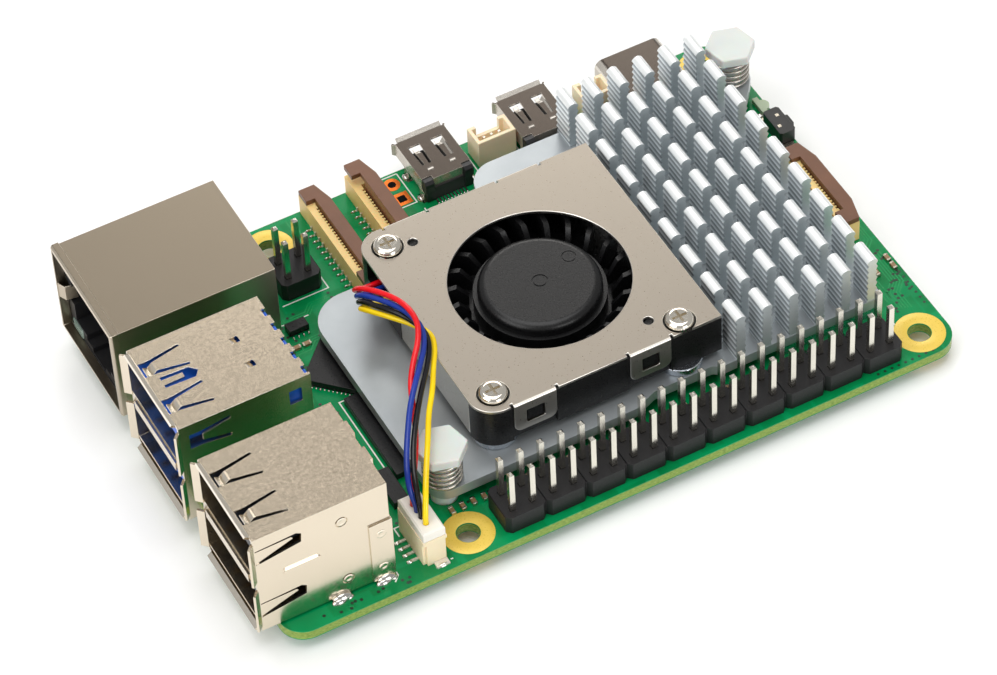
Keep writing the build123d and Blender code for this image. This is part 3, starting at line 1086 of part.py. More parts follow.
with BuildPart(board) as fan_stator:
    with BuildSketch(board.offset(5.2)):
        with Locations(FAN_CENTRE):
            Circle(3.1)
        for n in range(6):
            turn = 60 * n
            with Locations(Location((fan_x, fan_y), turn)):
                with Locations((3.5, 0)):
                    Rectangle(2.8, 1.3)
                with Locations((4.85, 0)):
                    Rectangle(0.6, 3.4)
        with Locations(FAN_CENTRE):
            Circle(2.22, mode=Mode.SUBTRACT)
    extrude(amount=2.2)
fan_stator.part.label = "fan_stator"
export_step(fan_stator.part, "parts/fan_stator.step")
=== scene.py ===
import bpy
import bmesh
import json
import math
import random
from mathutils import Matrix, Vector

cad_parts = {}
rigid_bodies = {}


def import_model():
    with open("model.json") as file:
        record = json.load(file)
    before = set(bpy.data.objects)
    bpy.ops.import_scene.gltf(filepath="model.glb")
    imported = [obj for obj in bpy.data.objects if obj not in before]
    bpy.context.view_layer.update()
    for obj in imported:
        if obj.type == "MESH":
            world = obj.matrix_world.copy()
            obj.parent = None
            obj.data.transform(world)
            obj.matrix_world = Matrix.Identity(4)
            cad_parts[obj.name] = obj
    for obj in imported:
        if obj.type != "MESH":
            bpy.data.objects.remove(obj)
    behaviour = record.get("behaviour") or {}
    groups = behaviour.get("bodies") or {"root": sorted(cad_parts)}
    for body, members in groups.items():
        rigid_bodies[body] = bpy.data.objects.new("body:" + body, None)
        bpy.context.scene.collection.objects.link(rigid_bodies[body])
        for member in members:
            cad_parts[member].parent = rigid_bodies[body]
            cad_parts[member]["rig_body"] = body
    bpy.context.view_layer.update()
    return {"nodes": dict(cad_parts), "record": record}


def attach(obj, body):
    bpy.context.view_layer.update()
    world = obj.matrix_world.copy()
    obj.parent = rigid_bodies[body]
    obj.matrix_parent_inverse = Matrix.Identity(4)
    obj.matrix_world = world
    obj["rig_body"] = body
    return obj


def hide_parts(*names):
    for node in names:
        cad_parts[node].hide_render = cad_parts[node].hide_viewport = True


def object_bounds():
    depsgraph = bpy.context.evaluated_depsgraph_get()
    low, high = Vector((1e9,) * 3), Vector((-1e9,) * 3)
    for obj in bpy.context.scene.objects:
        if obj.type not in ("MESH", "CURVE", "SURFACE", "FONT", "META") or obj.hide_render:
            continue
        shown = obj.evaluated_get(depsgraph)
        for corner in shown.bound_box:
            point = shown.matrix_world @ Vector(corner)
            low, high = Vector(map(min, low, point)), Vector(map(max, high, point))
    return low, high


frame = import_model()
random.seed(7)

# Positions are read in millimetres from the board's corner beside the power socket, with
# z = 0 on the board's top face, as in the part's source.  at() turns them into the frame's metres.
MM = 0.001
BOARD_CORNER = Vector((-32.5, -28.0, 1.4)) * MM


def at(x, y, z=0.0):
    return BOARD_CORNER + Vector((x, y, z)) * MM


# ---------------------------------------------------------------- camera, floor and light
camera_data = bpy.data.cameras.new("camera")
camera_data.sensor_width = 36.0
camera_data.lens = 164.57
camera_data.clip_start = 0.05
camera_data.clip_end = 20.0
camera = bpy.data.objects.new("camera", camera_data)
bpy.context.scene.collection.objects.link(camera)
camera_right = Vector((-0.87902, 0.47522, -0.03865))
camera_up = Vector((-0.37847, -0.64616, 0.66275))
camera_back = Vector((0.28998, 0.59720, 0.74784))
camera.matrix_world = Matrix.Translation((0.162775, 0.310417, 0.388821)) @ Matrix(
    (camera_right, camera_up, camera_back)
).transposed().to_4x4()
bpy.context.scene.camera = camera
bpy.context.scene.view_settings.view_transform = "Standard"

FLOOR_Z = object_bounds()[0].z - 0.0001


def softbox(name, place, target, size, power, tint=(1.0, 1.0, 1.0)):
    """Square area light aimed at a point."""
    light = bpy.data.lights.new(name, "AREA")
    light.shape = "SQUARE"
    light.size = size
    light.energy = power
    light.color = tint
    lamp = bpy.data.objects.new(name, light)
    bpy.context.scene.collection.objects.link(lamp)
    lamp.location = place
    lamp.rotation_euler = (Vector(target) - Vector(place)).to_track_quat("-Z", "Y").to_euler()


softbox("overhead_softbox", (0.05, -0.05, 0.75), (0, 0, 0), 0.7, 3.7)
softbox("left_softbox", (0.75, 0.15, 0.4), (0, 0, 0), 0.7, 3.6)
softbox("rear_softbox", (-0.35, -0.75, 0.55), (0, 0, 0), 0.35, 1.6, (1.0, 0.97, 0.93))
softbox("front_softbox", (-0.15, 0.8, 0.22), (0, 0, 0), 0.4, 1.8)

world = bpy.data.worlds.new("studio")
world.use_nodes = True
bpy.context.scene.world = world
world.node_tree.nodes["Background"].inputs["Color"].default_value = (1.0, 0.99, 0.975, 1)
world.node_tree.nodes["Background"].inputs["Strength"].default_value = 0.42


# ---------------------------------------------------------------- material helpers
# Depths of the finest texture, in metres.
PLASTIC_GRAIN = 0.00002
METAL_GRAIN = 0.00001


def srgb(red, green, blue):
    """Linear colour from the usual 0 to 255 values."""
    return tuple(
        channel / 255 / 12.92 if channel <= 10 else ((channel / 255 + 0.055) / 1.055) ** 2.4
        for channel in (red, green, blue)
    )


class Nodes:
    """Short names for building one material's node tree."""

    def __init__(self, name):
        self.material = bpy.data.materials.new(name)
        self.material.use_nodes = True
        self.tree = self.material.node_tree
        self.shader = self.tree.nodes["Principled BSDF"]

    def node(self, kind, **settings):
        made = self.tree.nodes.new(kind)
        for key, value in settings.items():
            setattr(made, key, value)
        return made

    def link(self, output, socket):
        self.tree.links.new(output, socket)

    def place(self, stretch=(1, 1, 1), turn=0.0, kind="Object"):
        """Object coordinates, stretched and turned about Z."""
        coordinates = self.node("ShaderNodeTexCoord")
        mapping = self.node("ShaderNodeMapping")
        mapping.inputs["Scale"].default_value = stretch
        mapping.inputs["Rotation"].default_value = (0, 0, turn)
        self.link(coordinates.outputs[kind], mapping.inputs["Vector"])
        return mapping.outputs["Vector"]

    def noise(self, scale, detail=3.0, stretch=(1, 1, 1), turn=0.0):
        texture = self.node("ShaderNodeTexNoise")
        texture.inputs["Scale"].default_value = scale
        texture.inputs["Detail"].default_value = detail
        self.link(self.place(stretch, turn), texture.inputs["Vector"])
        return texture.outputs["Fac"]

    def ramp(self, value, stops):
        """Colour ramp with (position, colour) stops."""
        ramp = self.node("ShaderNodeValToRGB")
        elements = ramp.color_ramp.elements
        while len(elements) < len(stops):
            elements.new(0.5)
        for element, (position, colour) in zip(elements, stops):
            element.position = position
            element.color = (*colour, 1.0)
        self.link(value, ramp.inputs["Fac"])
        return ramp.outputs["Color"]

    def spread(self, value, low, high, start=0.3, end=0.7):
        """A texture's middle range mapped to low..high."""
        spread = self.node("ShaderNodeMapRange")
        spread.inputs["From Min"].default_value = start
        spread.inputs["From Max"].default_value = end
        spread.inputs["To Min"].default_value = low
        spread.inputs["To Max"].default_value = high
        self.link(value, spread.inputs["Value"])
        return spread.outputs["Result"]

    def mix(self, factor, first, second):
        """Mix of two colours, each a colour tuple or a socket; the factor is a number or a socket."""
        mix = self.node("ShaderNodeMix", data_type="RGBA")
        for socket, value in ((mix.inputs[0], factor), (mix.inputs[6], first), (mix.inputs[7], second)):
            if isinstance(value, bpy.types.NodeSocket):
                self.link(value, socket)
            elif isinstance(value, tuple):
                socket.default_value = (*value, 1.0)
            else:
                socket.default_value = value
        return mix.outputs[2]

    def math(self, operation, first, second):
        """One math step; the second value is a number or a socket."""
        step = self.node("ShaderNodeMath", operation=operation)
        self.link(first, step.inputs[0])
        if isinstance(second, bpy.types.NodeSocket):
            self.link(second, step.inputs[1])
        else:
            step.inputs[1].default_value = second
        return step.outputs[0]

    def parts_of(self, vector):
        """X, Y and Z of a vector, by name."""
        split = self.node("ShaderNodeSeparateXYZ")
        self.link(vector, split.inputs[0])
        return split.outputs

    def facing(self, kind="Normal"):
        """X, Y and Z of the surface's direction."""
        return self.parts_of(self.node("ShaderNodeNewGeometry").outputs[kind])

    def painted_light_by_tilt(self, colour, rim_highlight, side):
        """Painted light by tilt: one colour for level faces, a painted highlight for the rounded rims
        between, and painted light for upright faces.
        """
        level = self.math("ABSOLUTE", self.facing()["Z"], 0.0)
        return self.ramp(level, [(0.12, side), (0.3, rim_highlight), (0.93, rim_highlight), (0.985, colour)])

    def bump(self, height, strength, distance):
        bump = self.node("ShaderNodeBump")
        bump.inputs["Strength"].default_value = strength
        bump.inputs["Distance"].default_value = distance
        self.link(height, bump.inputs["Height"])
        self.link(bump.outputs["Normal"], self.shader.inputs["Normal"])

    def set(self, **values):
        for name, value in values.items():
            socket = self.shader.inputs[name.replace("_", " ")]
            if isinstance(value, bpy.types.NodeSocket):
                self.link(value, socket)
            elif isinstance(value, tuple):
                socket.default_value = (*value, 1.0)
            else:
                socket.default_value = value


def shades(colour, change):
    """Darker and lighter versions of a colour."""
    return tuple(c * (1 - change) for c in colour), tuple(min(1.0, c * (1 + change)) for c in colour)


def plastic(name, colour, rough=(0.35, 0.5), tone=0.12, grain=0.25, grain_size=6000, **sockets):
    """Moulded plastic: slight tone drift, fine spark-eroded grain and uneven gloss."""
    n = Nodes(name)
    drift = n.noise(260, 4)
    fine = n.noise(grain_size, 2)
    n.set(
        Base_Color=n.ramp(drift, [(0.3, shades(colour, tone)[0]), (0.7, shades(colour, tone)[1])]),
        Roughness=n.spread(fine, *rough),
        **sockets,
    )
    n.bump(fine, grain, PLASTIC_GRAIN)
    return n.material


def metal(name, colour, rough=(0.2, 0.35), tone=0.08, brush=None, grain=0.08, size=9000, metallic=1.0,
          rim_highlight=None, side=None):
    """Metal with stains, and brush lines along one axis when brush gives the stretch.

    Rounded rims take a painted highlight colour and upright sides a painted lighter colour, chosen by how
    each face tilts, when they are given.
    """
    n = Nodes(name)
    drift = n.noise(180, 4)
    fine = n.noise(size, 3, brush or (1, 1, 1))
    base = n.ramp(drift, [(0.3, shades(colour, tone)[0]), (0.7, shades(colour, tone)[1])])
    # Rounded rims get a painted highlight and upright sides (side) get painted light, by how each face tilts;
    # random stains darken both in patches.
    if rim_highlight:
        stained = n.spread(drift, 0.0, 2 * tone)
        base = n.mix(stained, n.painted_light_by_tilt(colour, rim_highlight, side or rim_highlight), shades(colour, tone)[0])
    n.set(Base_Color=base, Roughness=n.spread(fine, *rough), Metallic=metallic)
    n.bump(fine, grain, METAL_GRAIN)
    return n.material


# ---------------------------------------------------------------- materials
ALONG_X = (0.12, 1.0, 1.0)
ALONG_Z = (1.0, 1.0, 0.12)

# In jack_shield, usb_shell, socket_steel and cover_steel the first colour is for level faces, the rim colour
# is a painted highlight on rounded edges and the side colour is painted light on upright faces.
finish = {
    "header_black": plastic("header_black", srgb(22, 21, 23), (0.4, 0.56), Specular_IOR_Level=0.35),
    "pin_metal": metal("pin_metal", srgb(226, 222, 210), (0.14, 0.26), brush=ALONG_Z),
    "jack_shield": metal("jack_shield", srgb(137, 127, 112), (0.28, 0.34), 0.06, grain=0.012, size=3000,
                         rim_highlight=srgb(226, 214, 196), side=srgb(190, 178, 160)),
    "socket_black": plastic("socket_black", srgb(26, 26, 28), (0.35, 0.5)),
    "contact_gold": metal("contact_gold", srgb(226, 190, 112), (0.15, 0.25)),
    "lamp_clear": plastic("lamp_clear", srgb(190, 215, 200), (0.1, 0.2), Transmission_Weight=0.6),
    "usb_shell": metal("usb_shell", srgb(216, 202, 180), (0.17, 0.24), 0.05, grain=0.02, size=3000,
                       rim_highlight=srgb(248, 240, 226), side=srgb(224, 212, 192)),
    "usb_blue": plastic("usb_blue", srgb(20, 90, 200), (0.3, 0.42)),
    "usb_black": plastic("usb_black", srgb(30, 34, 44), (0.3, 0.42)),
    "socket_steel": metal("socket_steel", srgb(84, 76, 69), (0.18, 0.26), 0.14, grain=0.04, size=3500,
                          metallic=0.75, rim_highlight=srgb(238, 232, 222), side=srgb(208, 200, 188)),
    "cream_plastic": plastic("cream_plastic", srgb(244, 208, 138), (0.35, 0.5), 0.05, Subsurface_Weight=0.2,
                             Subsurface_Scale=0.001),
    "latch_brown": plastic("latch_brown", srgb(112, 72, 48), (0.3, 0.45)),
    "solder_tin": metal("solder_tin", srgb(205, 205, 205), (0.15, 0.35)),
    "plug_white": plastic("plug_white", srgb(238, 234, 224), (0.35, 0.5), 0.03),
    "wire_red": plastic("wire_red", srgb(226, 14, 28), (0.14, 0.22)),
    "wire_blue": plastic("wire_blue", srgb(24, 54, 150), (0.14, 0.22)),
    "wire_black": plastic("wire_black", srgb(16, 15, 17), (0.14, 0.22)),
    "wire_yellow": plastic("wire_yellow", srgb(255, 212, 8), (0.14, 0.22)),
    "button_black": plastic("button_black", srgb(28, 28, 28), (0.3, 0.42)),
    "lamp_green": plastic("lamp_green", srgb(214, 232, 196), (0.1, 0.2), Transmission_Weight=0.4),
    "chip_black": plastic("chip_black", srgb(14, 14, 16), (0.26, 0.4), Specular_IOR_Level=0.35),
    "lid_metal": metal("lid_metal", srgb(190, 190, 190), (0.25, 0.4)),
    "ceramic_tan": plastic("ceramic_tan", srgb(150, 118, 84), (0.3, 0.45)),
    "ferrite_grey": plastic("ferrite_grey", srgb(70, 70, 72), (0.4, 0.6)),
    "module_steel": metal("module_steel", srgb(190, 196, 206), (0.2, 0.3)),
    "card_steel": metal("card_steel", srgb(196, 194, 190), (0.2, 0.3), brush=ALONG_X),
    "pad_grey": plastic("pad_grey", srgb(140, 144, 150), (0.6, 0.8)),
    "fan_black": plastic("fan_black", srgb(15, 15, 16), (0.25, 0.4), grain=0.45, Specular_IOR_Level=0.4),
    "cover_steel": metal("cover_steel", srgb(160, 152, 141), (0.27, 0.35), 0.04, grain=0.02, size=4000,
                         rim_highlight=srgb(246, 242, 234), side=srgb(206, 202, 196)),
    "screw_steel": metal("screw_steel", srgb(240, 234, 222), (0.06, 0.14)),
    "standoff_zinc": metal("standoff_zinc", srgb(190, 196, 204), (0.15, 0.3)),
    "coil_copper": metal("coil_copper", srgb(190, 110, 60), (0.25, 0.4)),
    "bearing_bronze": metal("bearing_bronze", srgb(180, 145, 90), (0.3, 0.45)),
    "shaft_steel": metal("shaft_steel", srgb(200, 200, 200), (0.1, 0.2)),
    "magnet_dark": plastic("magnet_dark", srgb(40, 40, 42), (0.5, 0.7)),
    "pin_nylon": plastic("pin_nylon", srgb(208, 214, 210), (0.3, 0.42), 0.03, Subsurface_Weight=0.4,
                         Subsurface_Scale=0.002),
    "spring_steel": metal("spring_steel", srgb(190, 186, 178), (0.15, 0.28)),
}


HALF_BOARD = 0.0007
MASK_SKIN = (0.00054, 0.00058)


def board_material():
    """Glossy solder mask on both faces and the skins of the edge, with bare glass fibre between them."""
    n = Nodes("board_green")
    mask = n.ramp(n.noise(220, 4), [(0.3, srgb(0, 118, 60)), (0.7, srgb(0, 142, 80))])
    # Copper under the mask shows as slightly lighter fields.
    cells = n.node("ShaderNodeTexVoronoi", distance="CHEBYCHEV", feature="F1")
    cells.inputs["Scale"].default_value = 330
    n.link(n.place(), cells.inputs["Vector"])
    mask = n.mix(n.spread(cells.outputs["Distance"], 0.0, 0.3, 0.42, 0.5), mask, srgb(4, 166, 102))
    fibre = n.ramp(n.noise(2500, 2, (1, 1, 3)), [(0.3, srgb(96, 128, 40)), (0.7, srgb(150, 172, 80))])
    flat = n.math("ABSOLUTE", n.facing("True Normal")["Z"], 0.0)
    from_middle = n.math("SUBTRACT", n.parts_of(n.place())["Z"], HALF_BOARD)
    skin = n.spread(n.math("ABSOLUTE", from_middle, 0.0), 0.0, 1.0, *MASK_SKIN)
    covered = n.math("MAXIMUM", n.spread(flat, 0.0, 1.0, 0.4, 0.6), skin)
    n.set(Base_Color=n.mix(covered, fibre, mask), Roughness=n.spread(n.noise(900, 2), 0.16, 0.26),
          Specular_IOR_Level=0.3)
    n.bump(cells.outputs["Distance"], 0.08, PLASTIC_GRAIN)
    return n.material


finish["board_green"] = board_material()


# Heights in the frame: the plate's top, one rib, and the head of the topmost rib.
PLATE_FACE = (0.00442, 0.00446)
RIB_FOOT = 0.0044
RIB_PITCH = 0.0009
RIB_HEAD = 0.0107


def sink_material():
    """Bead-blasted extrusion with painted light and shade: tops and rib crests painted pale, grooves and ends
    painted greyer by how they face, and a satin base plate.
    """
    n = Nodes("sink_aluminium")
    fine = n.noise(9000, 3)
    facing = n.facing()
    # Painted light by facing: faces turned up are painted pale, upright faces mid grey, and faces turned down
    # a dark grey shade.
    tilt = n.spread(facing["Z"], 0.0, 1.0, -0.45, 0.6)
    fin_painted_shading = n.ramp(tilt, [(0.0, srgb(140, 148, 154)), (0.43, srgb(208, 216, 219)), (1.0, srgb(252, 255, 255))])
    height = n.parts_of(n.place())["Z"]
    above = n.spread(height, 0.0, 1.0, *PLATE_FACE)
    # Along the broad sides each rib is painted pale as a highlight at its crest and painted grey as shade up
    # in the groove, by its height within the rib.
    phase = height
    for operation, value in (("SUBTRACT", RIB_FOOT), ("DIVIDE", RIB_PITCH), ("FRACT", 0.0)):
        phase = n.math(operation, phase, value)
    ribs = n.ramp(phase, [(0.0, srgb(240, 245, 248)), (0.2, srgb(236, 242, 245)), (0.29, srgb(178, 186, 191)),
                          (0.5, srgb(152, 160, 166)), (0.98, srgb(160, 168, 173))])
    broad = n.spread(n.math("ABSOLUTE", facing["X"], 0.0), 0.0, 1.0, 0.55, 0.65)
    below_head = n.math("LESS_THAN", height, RIB_HEAD)
    fin_painted_shading = n.mix(n.math("MULTIPLY", broad, below_head), fin_painted_shading, ribs)
    plate = n.ramp(n.noise(140, 4), [(0.3, srgb(166, 172, 176)), (0.7, srgb(184, 190, 193))])
    n.set(Base_Color=n.mix(above, plate, fin_painted_shading), Roughness=n.spread(fine, 0.3, 0.44), Metallic=0.6)
    n.bump(fine, 0.06, METAL_GRAIN)
    return n.material


finish["sink_aluminium"] = sink_material()
looks = {
    "ring_gold": plastic("ring_gold", srgb(236, 202, 84), (0.25, 0.4), 0.06, Metallic=0.1),
    "silk_white": plastic("silk_white", srgb(228, 232, 226), (0.5, 0.7), 0.04),
    "trace_green": plastic("trace_green", srgb(10, 150, 82), (0.18, 0.28), 0.08, grain=0.05),
    "via_dark": plastic("via_dark", srgb(8, 52, 30), (0.3, 0.5), 0.1),
    "solder_bright": metal("solder_bright", srgb(214, 212, 206), (0.08, 0.2), grain=0.15, size=1500),
    "pad_copper": metal("pad_copper", srgb(214, 112, 48), (0.25, 0.4)),
    "cap_tin": metal("cap_tin", srgb(196, 188, 172), (0.2, 0.35)),
    # Near-black painted shade for the insides of holes.
    "painted_hole_shade": plastic("painted_hole_shade", srgb(6, 6, 7), (0.6, 0.8), Specular_IOR_Level=0.1),
    "header_cream": plastic("header_cream", srgb(242, 224, 190), (0.35, 0.5), 0.04, Subsurface_Weight=0.2,
                            Subsurface_Scale=0.001),
    "tail_tin": metal("tail_tin", srgb(236, 232, 222), (0.1, 0.2), metallic=0.5),
}

slots = {part["node"]: part["material_slot"] for part in frame["record"]["subparts"]}
for node, slot in slots.items():
    materials = frame["nodes"][node].data.materials
    materials.clear()
    materials.append(finish[slot])
for node in ("debug_header_body", "battery_header_body", "fan_header_body"):
    frame["nodes"][node].data.materials[0] = looks["header_cream"]
for node in ("ribbon_contacts", "wire_header_contacts"):
    frame["nodes"][node].data.materials[0] = looks["tail_tin"]

# ---------------------------------------------------------------- finer copies of the CAD pieces
# Each is the CAD piece with its edges rounded: width of the round, in millimetres.
rounded_edges = {
    "ethernet_shield": 0.09,
    "usb3_shell": 0.05,
    "usb2_shell": 0.05,
    "fan_cover": 0.06,
    "gpio_header_housing": 0.08,
    "poe_header_housing": 0.08,
    "heatsink": 0.1,
    "fan_plug": 0.08,
    "fan_header_body": 0.07,
    "debug_header_body": 0.07,
    "battery_header_body": 0.07,
    "camera_0_latch": 0.06,
    "camera_1_latch": 0.06,
    "pcie_latch": 0.06,
    "hdmi_shells": 0.05,
    "power_button_body": 0.06,
    "small_chips": 0.06,
    "peripheral_chip": 0.08,
    "fan_standoffs": 0.1,
}
# These have plain convex faces, so their triangles can be merged before the bevel.
merged_faces = ("fan_plug", "small_chips", "peripheral_chip")
# Wider than the angle between a fin's ribs, which stay crisp.
RIB_BEVEL_ANGLE = 60
EDGE_BEVEL_ANGLE = 32
SHARP_ANGLE = 22


def adopt(name, mesh, body, slot, node=None):
    """Put a mesh into the scene as a piece that rides on a body."""
    piece = bpy.data.objects.new(name, mesh)
    bpy.context.scene.collection.objects.link(piece)
    if not mesh.materials:
        mesh.materials.append(finish[slot])
    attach(piece, body)
    if node:
        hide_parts(node)
    return piece


def round_edges(piece, width, angle=EDGE_BEVEL_ANGLE):
    """Bevel every edge sharper than the angle and shade the result smooth between sharp edges."""
    piece.data.shade_smooth()
    piece.data.set_sharp_from_angle(angle=math.radians(SHARP_ANGLE))
    bevel = piece.modifiers.new("round", "BEVEL")
    bevel.width = width * MM
    bevel.segments = 2
    bevel.limit_method = "ANGLE"
    bevel.angle_limit = math.radians(angle)
    bevel.use_clamp_overlap = True
    even = piece.modifiers.new("even", "WEIGHTED_NORMAL")
    even.weight = 100
    even.keep_sharp = True


for node, width in rounded_edges.items():
    source = frame["nodes"][node]
    mesh = source.data.copy()
    mesh.name = f"{node}_rounded"
    clean = bmesh.new()
    clean.from_mesh(mesh)
    bmesh.ops.remove_doubles(clean, verts=clean.verts, dist=0.000001)
    if node in merged_faces:
        bmesh.ops.dissolve_limit(clean, angle_limit=math.radians(0.5), verts=clean.verts, edges=clean.edges,
                                 delimit={"NORMAL"})
    clean.to_mesh(mesh)
    clean.free()
    if "custom_normal" in mesh.attributes:
        mesh.attributes.remove(mesh.attributes["custom_normal"])
    piece = adopt(f"{node}_rounded", mesh, source["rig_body"], slots[node], node)
    piece.matrix_world = source.matrix_world
    round_edges(piece, width, RIB_BEVEL_ANGLE if node == "heatsink" else EDGE_BEVEL_ANGLE)


# ---------------------------------------------------------------- details on the board
class Build:
    """Collects simple solids, given in board millimetres, into one mesh."""

    def __init__(self):
        self.bm = bmesh.new()

    def slab(self, outline, z0, z1):
        """Prism with a plan outline of (x, y) points, anticlockwise."""
        low = [self.bm.verts.new(at(x, y, z0)) for x, y in outline]
        high = [self.bm.verts.new(at(x, y, z1)) for x, y in outline]
        self.bm.faces.new(low[::-1])
        self.bm.faces.new(high)
        for n in range(len(outline)):
            m = (n + 1) % len(outline)
            self.bm.faces.new((low[n], low[m], high[m], high[n]))

    def box(self, x0, x1, y0, y1, z0, z1):
        self.slab([(x0, y0), (x1, y0), (x1, y1), (x0, y1)], z0, z1)

    def turned(self, x, y, profile, steps=20, closed=False, stretch=(1.0, 1.0)):
        """Solid of revolution about an upright axis from (radius, z) points, outside going up."""
        rings = [
            [
                self.bm.verts.new(
                    at(
                        x + radius * stretch[0] * math.cos(2 * math.pi * n / steps),
                        y + radius * stretch[1] * math.sin(2 * math.pi * n / steps),
                        z,
                    )
                )
                for n in range(steps)
            ]
            for radius, z in profile
        ]
        pairs = list(zip(rings, rings[1:]))
        if closed:
            pairs.append((rings[-1], rings[0]))
        else:
            self.bm.faces.new(rings[0][::-1])
            self.bm.faces.new(rings[-1])
        for lower, upper in pairs:
            for n in range(steps):
                m = (n + 1) % steps
                self.bm.faces.new((lower[n], lower[m], upper[m], upper[n]))

    def dome(self, x, y, radius, height, z=0.0, stretch=(1.0, 1.0)):
        """Drop of solder; a negative height hangs it from the board's underside."""
        steps = ((1.0, 0.0), (0.97, 0.25), (0.8, 0.6), (0.5, 0.88), (0.18, 1.0))
        profile = [(radius * r, z + height * h) for r, h in steps]
        self.turned(x, y, profile if height > 0 else profile[::-1], 14, stretch=stretch)

    def strip(self, points, width, z0, z1):
        """Line of constant width along plan points."""
        line = [Vector(point) for point in points]
        left, right = [], []
        for n, point in enumerate(line):
            into = (line[n] - line[n - 1]).normalized() if n else (line[1] - line[0]).normalized()
            out = (line[n + 1] - line[n]).normalized() if n < len(line) - 1 else into
            normal = Vector((-(into + out).y, (into + out).x)).normalized()
            offset = normal * width / 2 / max(0.5, normal.dot(Vector((-into.y, into.x))))
            left.append(tuple(point + offset))
            right.append(tuple(point - offset))
        self.slab(right + left[::-1], z0, z1)

    def done(self, name, look, slot, body="board", smooth=False):
        bmesh.ops.recalc_face_normals(self.bm, faces=self.bm.faces)
        mesh = bpy.data.meshes.new(name)
        self.bm.to_mesh(mesh)
        self.bm.free()
        mesh.materials.append(look)
        if smooth:
            mesh.shade_smooth()
            mesh.set_sharp_from_angle(angle=math.radians(50))
        return adopt(name, mesh, body, slot)


MOUNTING_HOLES = [(3.5, 3.5), (61.5, 3.5), (3.5, 52.5), (61.5, 52.5)]
UNDERSIDE = -1.4

rings = Build()
for x, y in MOUNTING_HOLES:
    for level, side in ((0.0, 1), (UNDERSIDE, -1)):
        lift = [(1.4, 0.0), (3.0, 0.0), (3.0, 0.02), (2.96, 0.035), (1.44, 0.035), (1.4, 0.02)]
        rings.turned(x, y, [(radius, level + side * z) for radius, z in lift], 48, closed=True)
rings.done("mounting_rings", looks["ring_gold"], "contact_gold", smooth=True)

silk = Build()
outlines = [
    [(58.3, 6.5), (58.3, 12.4), (64.2, 12.4)],
    [(62.4, 28.6), (65.2, 28.6), (65.2, 39.9)],
    [(43.2, 0.35), (45.8, 0.35), (45.8, 5.6), (43.2, 5.6), (43.2, 0.35)],
    [(70.9, 22.4), (70.9, 35.8)],
    [(70.9, 40.3), (70.9, 53.9), (71.6, 54.6)],
    [(64.6, 47.9), (68.3, 47.9), (68.3, 49.2)],
    [(64.6, 54.8), (64.9, 54.8)],
    [(35.5, 6.9), (35.5, 7.4), (42.9, 7.4), (42.9, 6.9)],
    [(28.9, 1.3), (28.9, 4.9), (34.7, 4.9), (34.7, 1.3)],
    [(62.2, 15.0), (66.3, 15.0)],
    [(58.0, 19.2), (57.4, 19.8)],
    [(0.6, 20.6), (3.0, 20.6)],
    [(46.4, 0.5), (46.4, 1.6)],
    [(5.3, 48.9), (5.3, 50.3)],
]
for points in outlines:
    silk.strip(points, 0.16, 0.0, 0.02)
silk.done("silkscreen_lines", looks["silk_white"], "plug_white")

traces = Build()
bundles = [
    ([(0.9, 39.6), (0.9, 44.8), (2.2, 46.1), (2.2, 48.8)], 5, (0.34, -0.14)),
    ([(5.6, 37.6), (5.0, 38.2), (5.0, 41.6), (4.2, 42.4), (4.2, 46.8)], 3, (-0.36, -0.15)),
    ([(0.7, 33.0), (0.7, 37.6), (1.6, 38.5), (3.4, 38.5)], 4, (0.3, -0.3)),
    ([(5.4, 49.2), (6.6, 48.6), (20.0, 48.6)], 2, (0.1, 0.26)),
    ([(63.8, 43.4), (65.0, 46.9), (66.4, 47.3), (70.4, 47.3)], 2, (0.1, -0.34)),
    ([(68.6, 18.6), (67.6, 19.6), (67.6, 27.0), (68.8, 28.2), (70.6, 28.2)], 6, (0.36, -0.1)),
    ([(65.6, 31.0), (67.6, 33.0), (67.6, 37.6), (70.4, 40.4)], 4, (0.32, -0.32)),
    ([(66.2, 40.0), (68.2, 42.0), (68.2, 46.4)], 4, (0.36, -0.1)),
    ([(59.0, 13.4), (61.4, 13.4), (62.4, 14.4), (66.2, 14.4)], 3, (-0.14, 0.34)),
    ([(57.2, 0.9), (57.2, 5.2), (57.9, 5.9)], 3, (0.34, -0.14)),
    ([(46.9, 0.8), (46.9, 4.6), (46.4, 5.1), (46.4, 7.2)], 2, (0.3, 0.1)),
    ([(60.0, 18.2), (63.6, 18.2), (64.6, 19.2), (66.4, 19.2)], 3, (-0.14, 0.34)),
    ([(0.8, 22.0), (1.8, 21.0), (4.6, 21.0)], 3, (0.12, -0.3)),
]
for points, count, step in bundles:
    for n in range(count):
        shifted = [(x + step[0] * n, y + step[1] * n) for x, y in points]
        traces.strip(shifted, 0.15, 0.0, 0.012)
traces.done("trace_lines", looks["trace_green"], "board_green")

vias = Build()
via_fields = [
    (0.6, 5.8, 38.4, 48.6, 42),
    (66.0, 70.6, 17.6, 46.8, 60),
    (57.6, 66.0, 13.0, 19.0, 22),
    (46.6, 50.4, 0.8, 6.4, 8),
    (57.4, 58.4, 0.6, 6.0, 5),
    (5.4, 60.0, 48.3, 48.7, 30),
    (0.6, 5.6, 20.8, 22.6, 8),
    (69.2, 84.0, 54.6, 55.5, 12),
    (62.4, 69.6, 46.8, 47.8, 8),
]
for x0, x1, y0, y1, count in via_fields:
    for n in range(count):
        x, y = random.uniform(x0, x1), random.uniform(y0, y1)
        vias.turned(x, y, [(0.2, 0.0), (0.2, 0.014), (0.1, 0.016)], 10)
for n in range(9):
    vias.turned(3.6 + 0.9 * n, 55.5, [(0.18, 0.0), (0.18, 0.014), (0.1, 0.016)], 10)
    vias.turned(0.55, 41.6 + 0.9 * n, [(0.18, 0.0), (0.18, 0.014), (0.1, 0.016)], 10)
vias.done("via_dots", looks["via_dark"], "board_green")

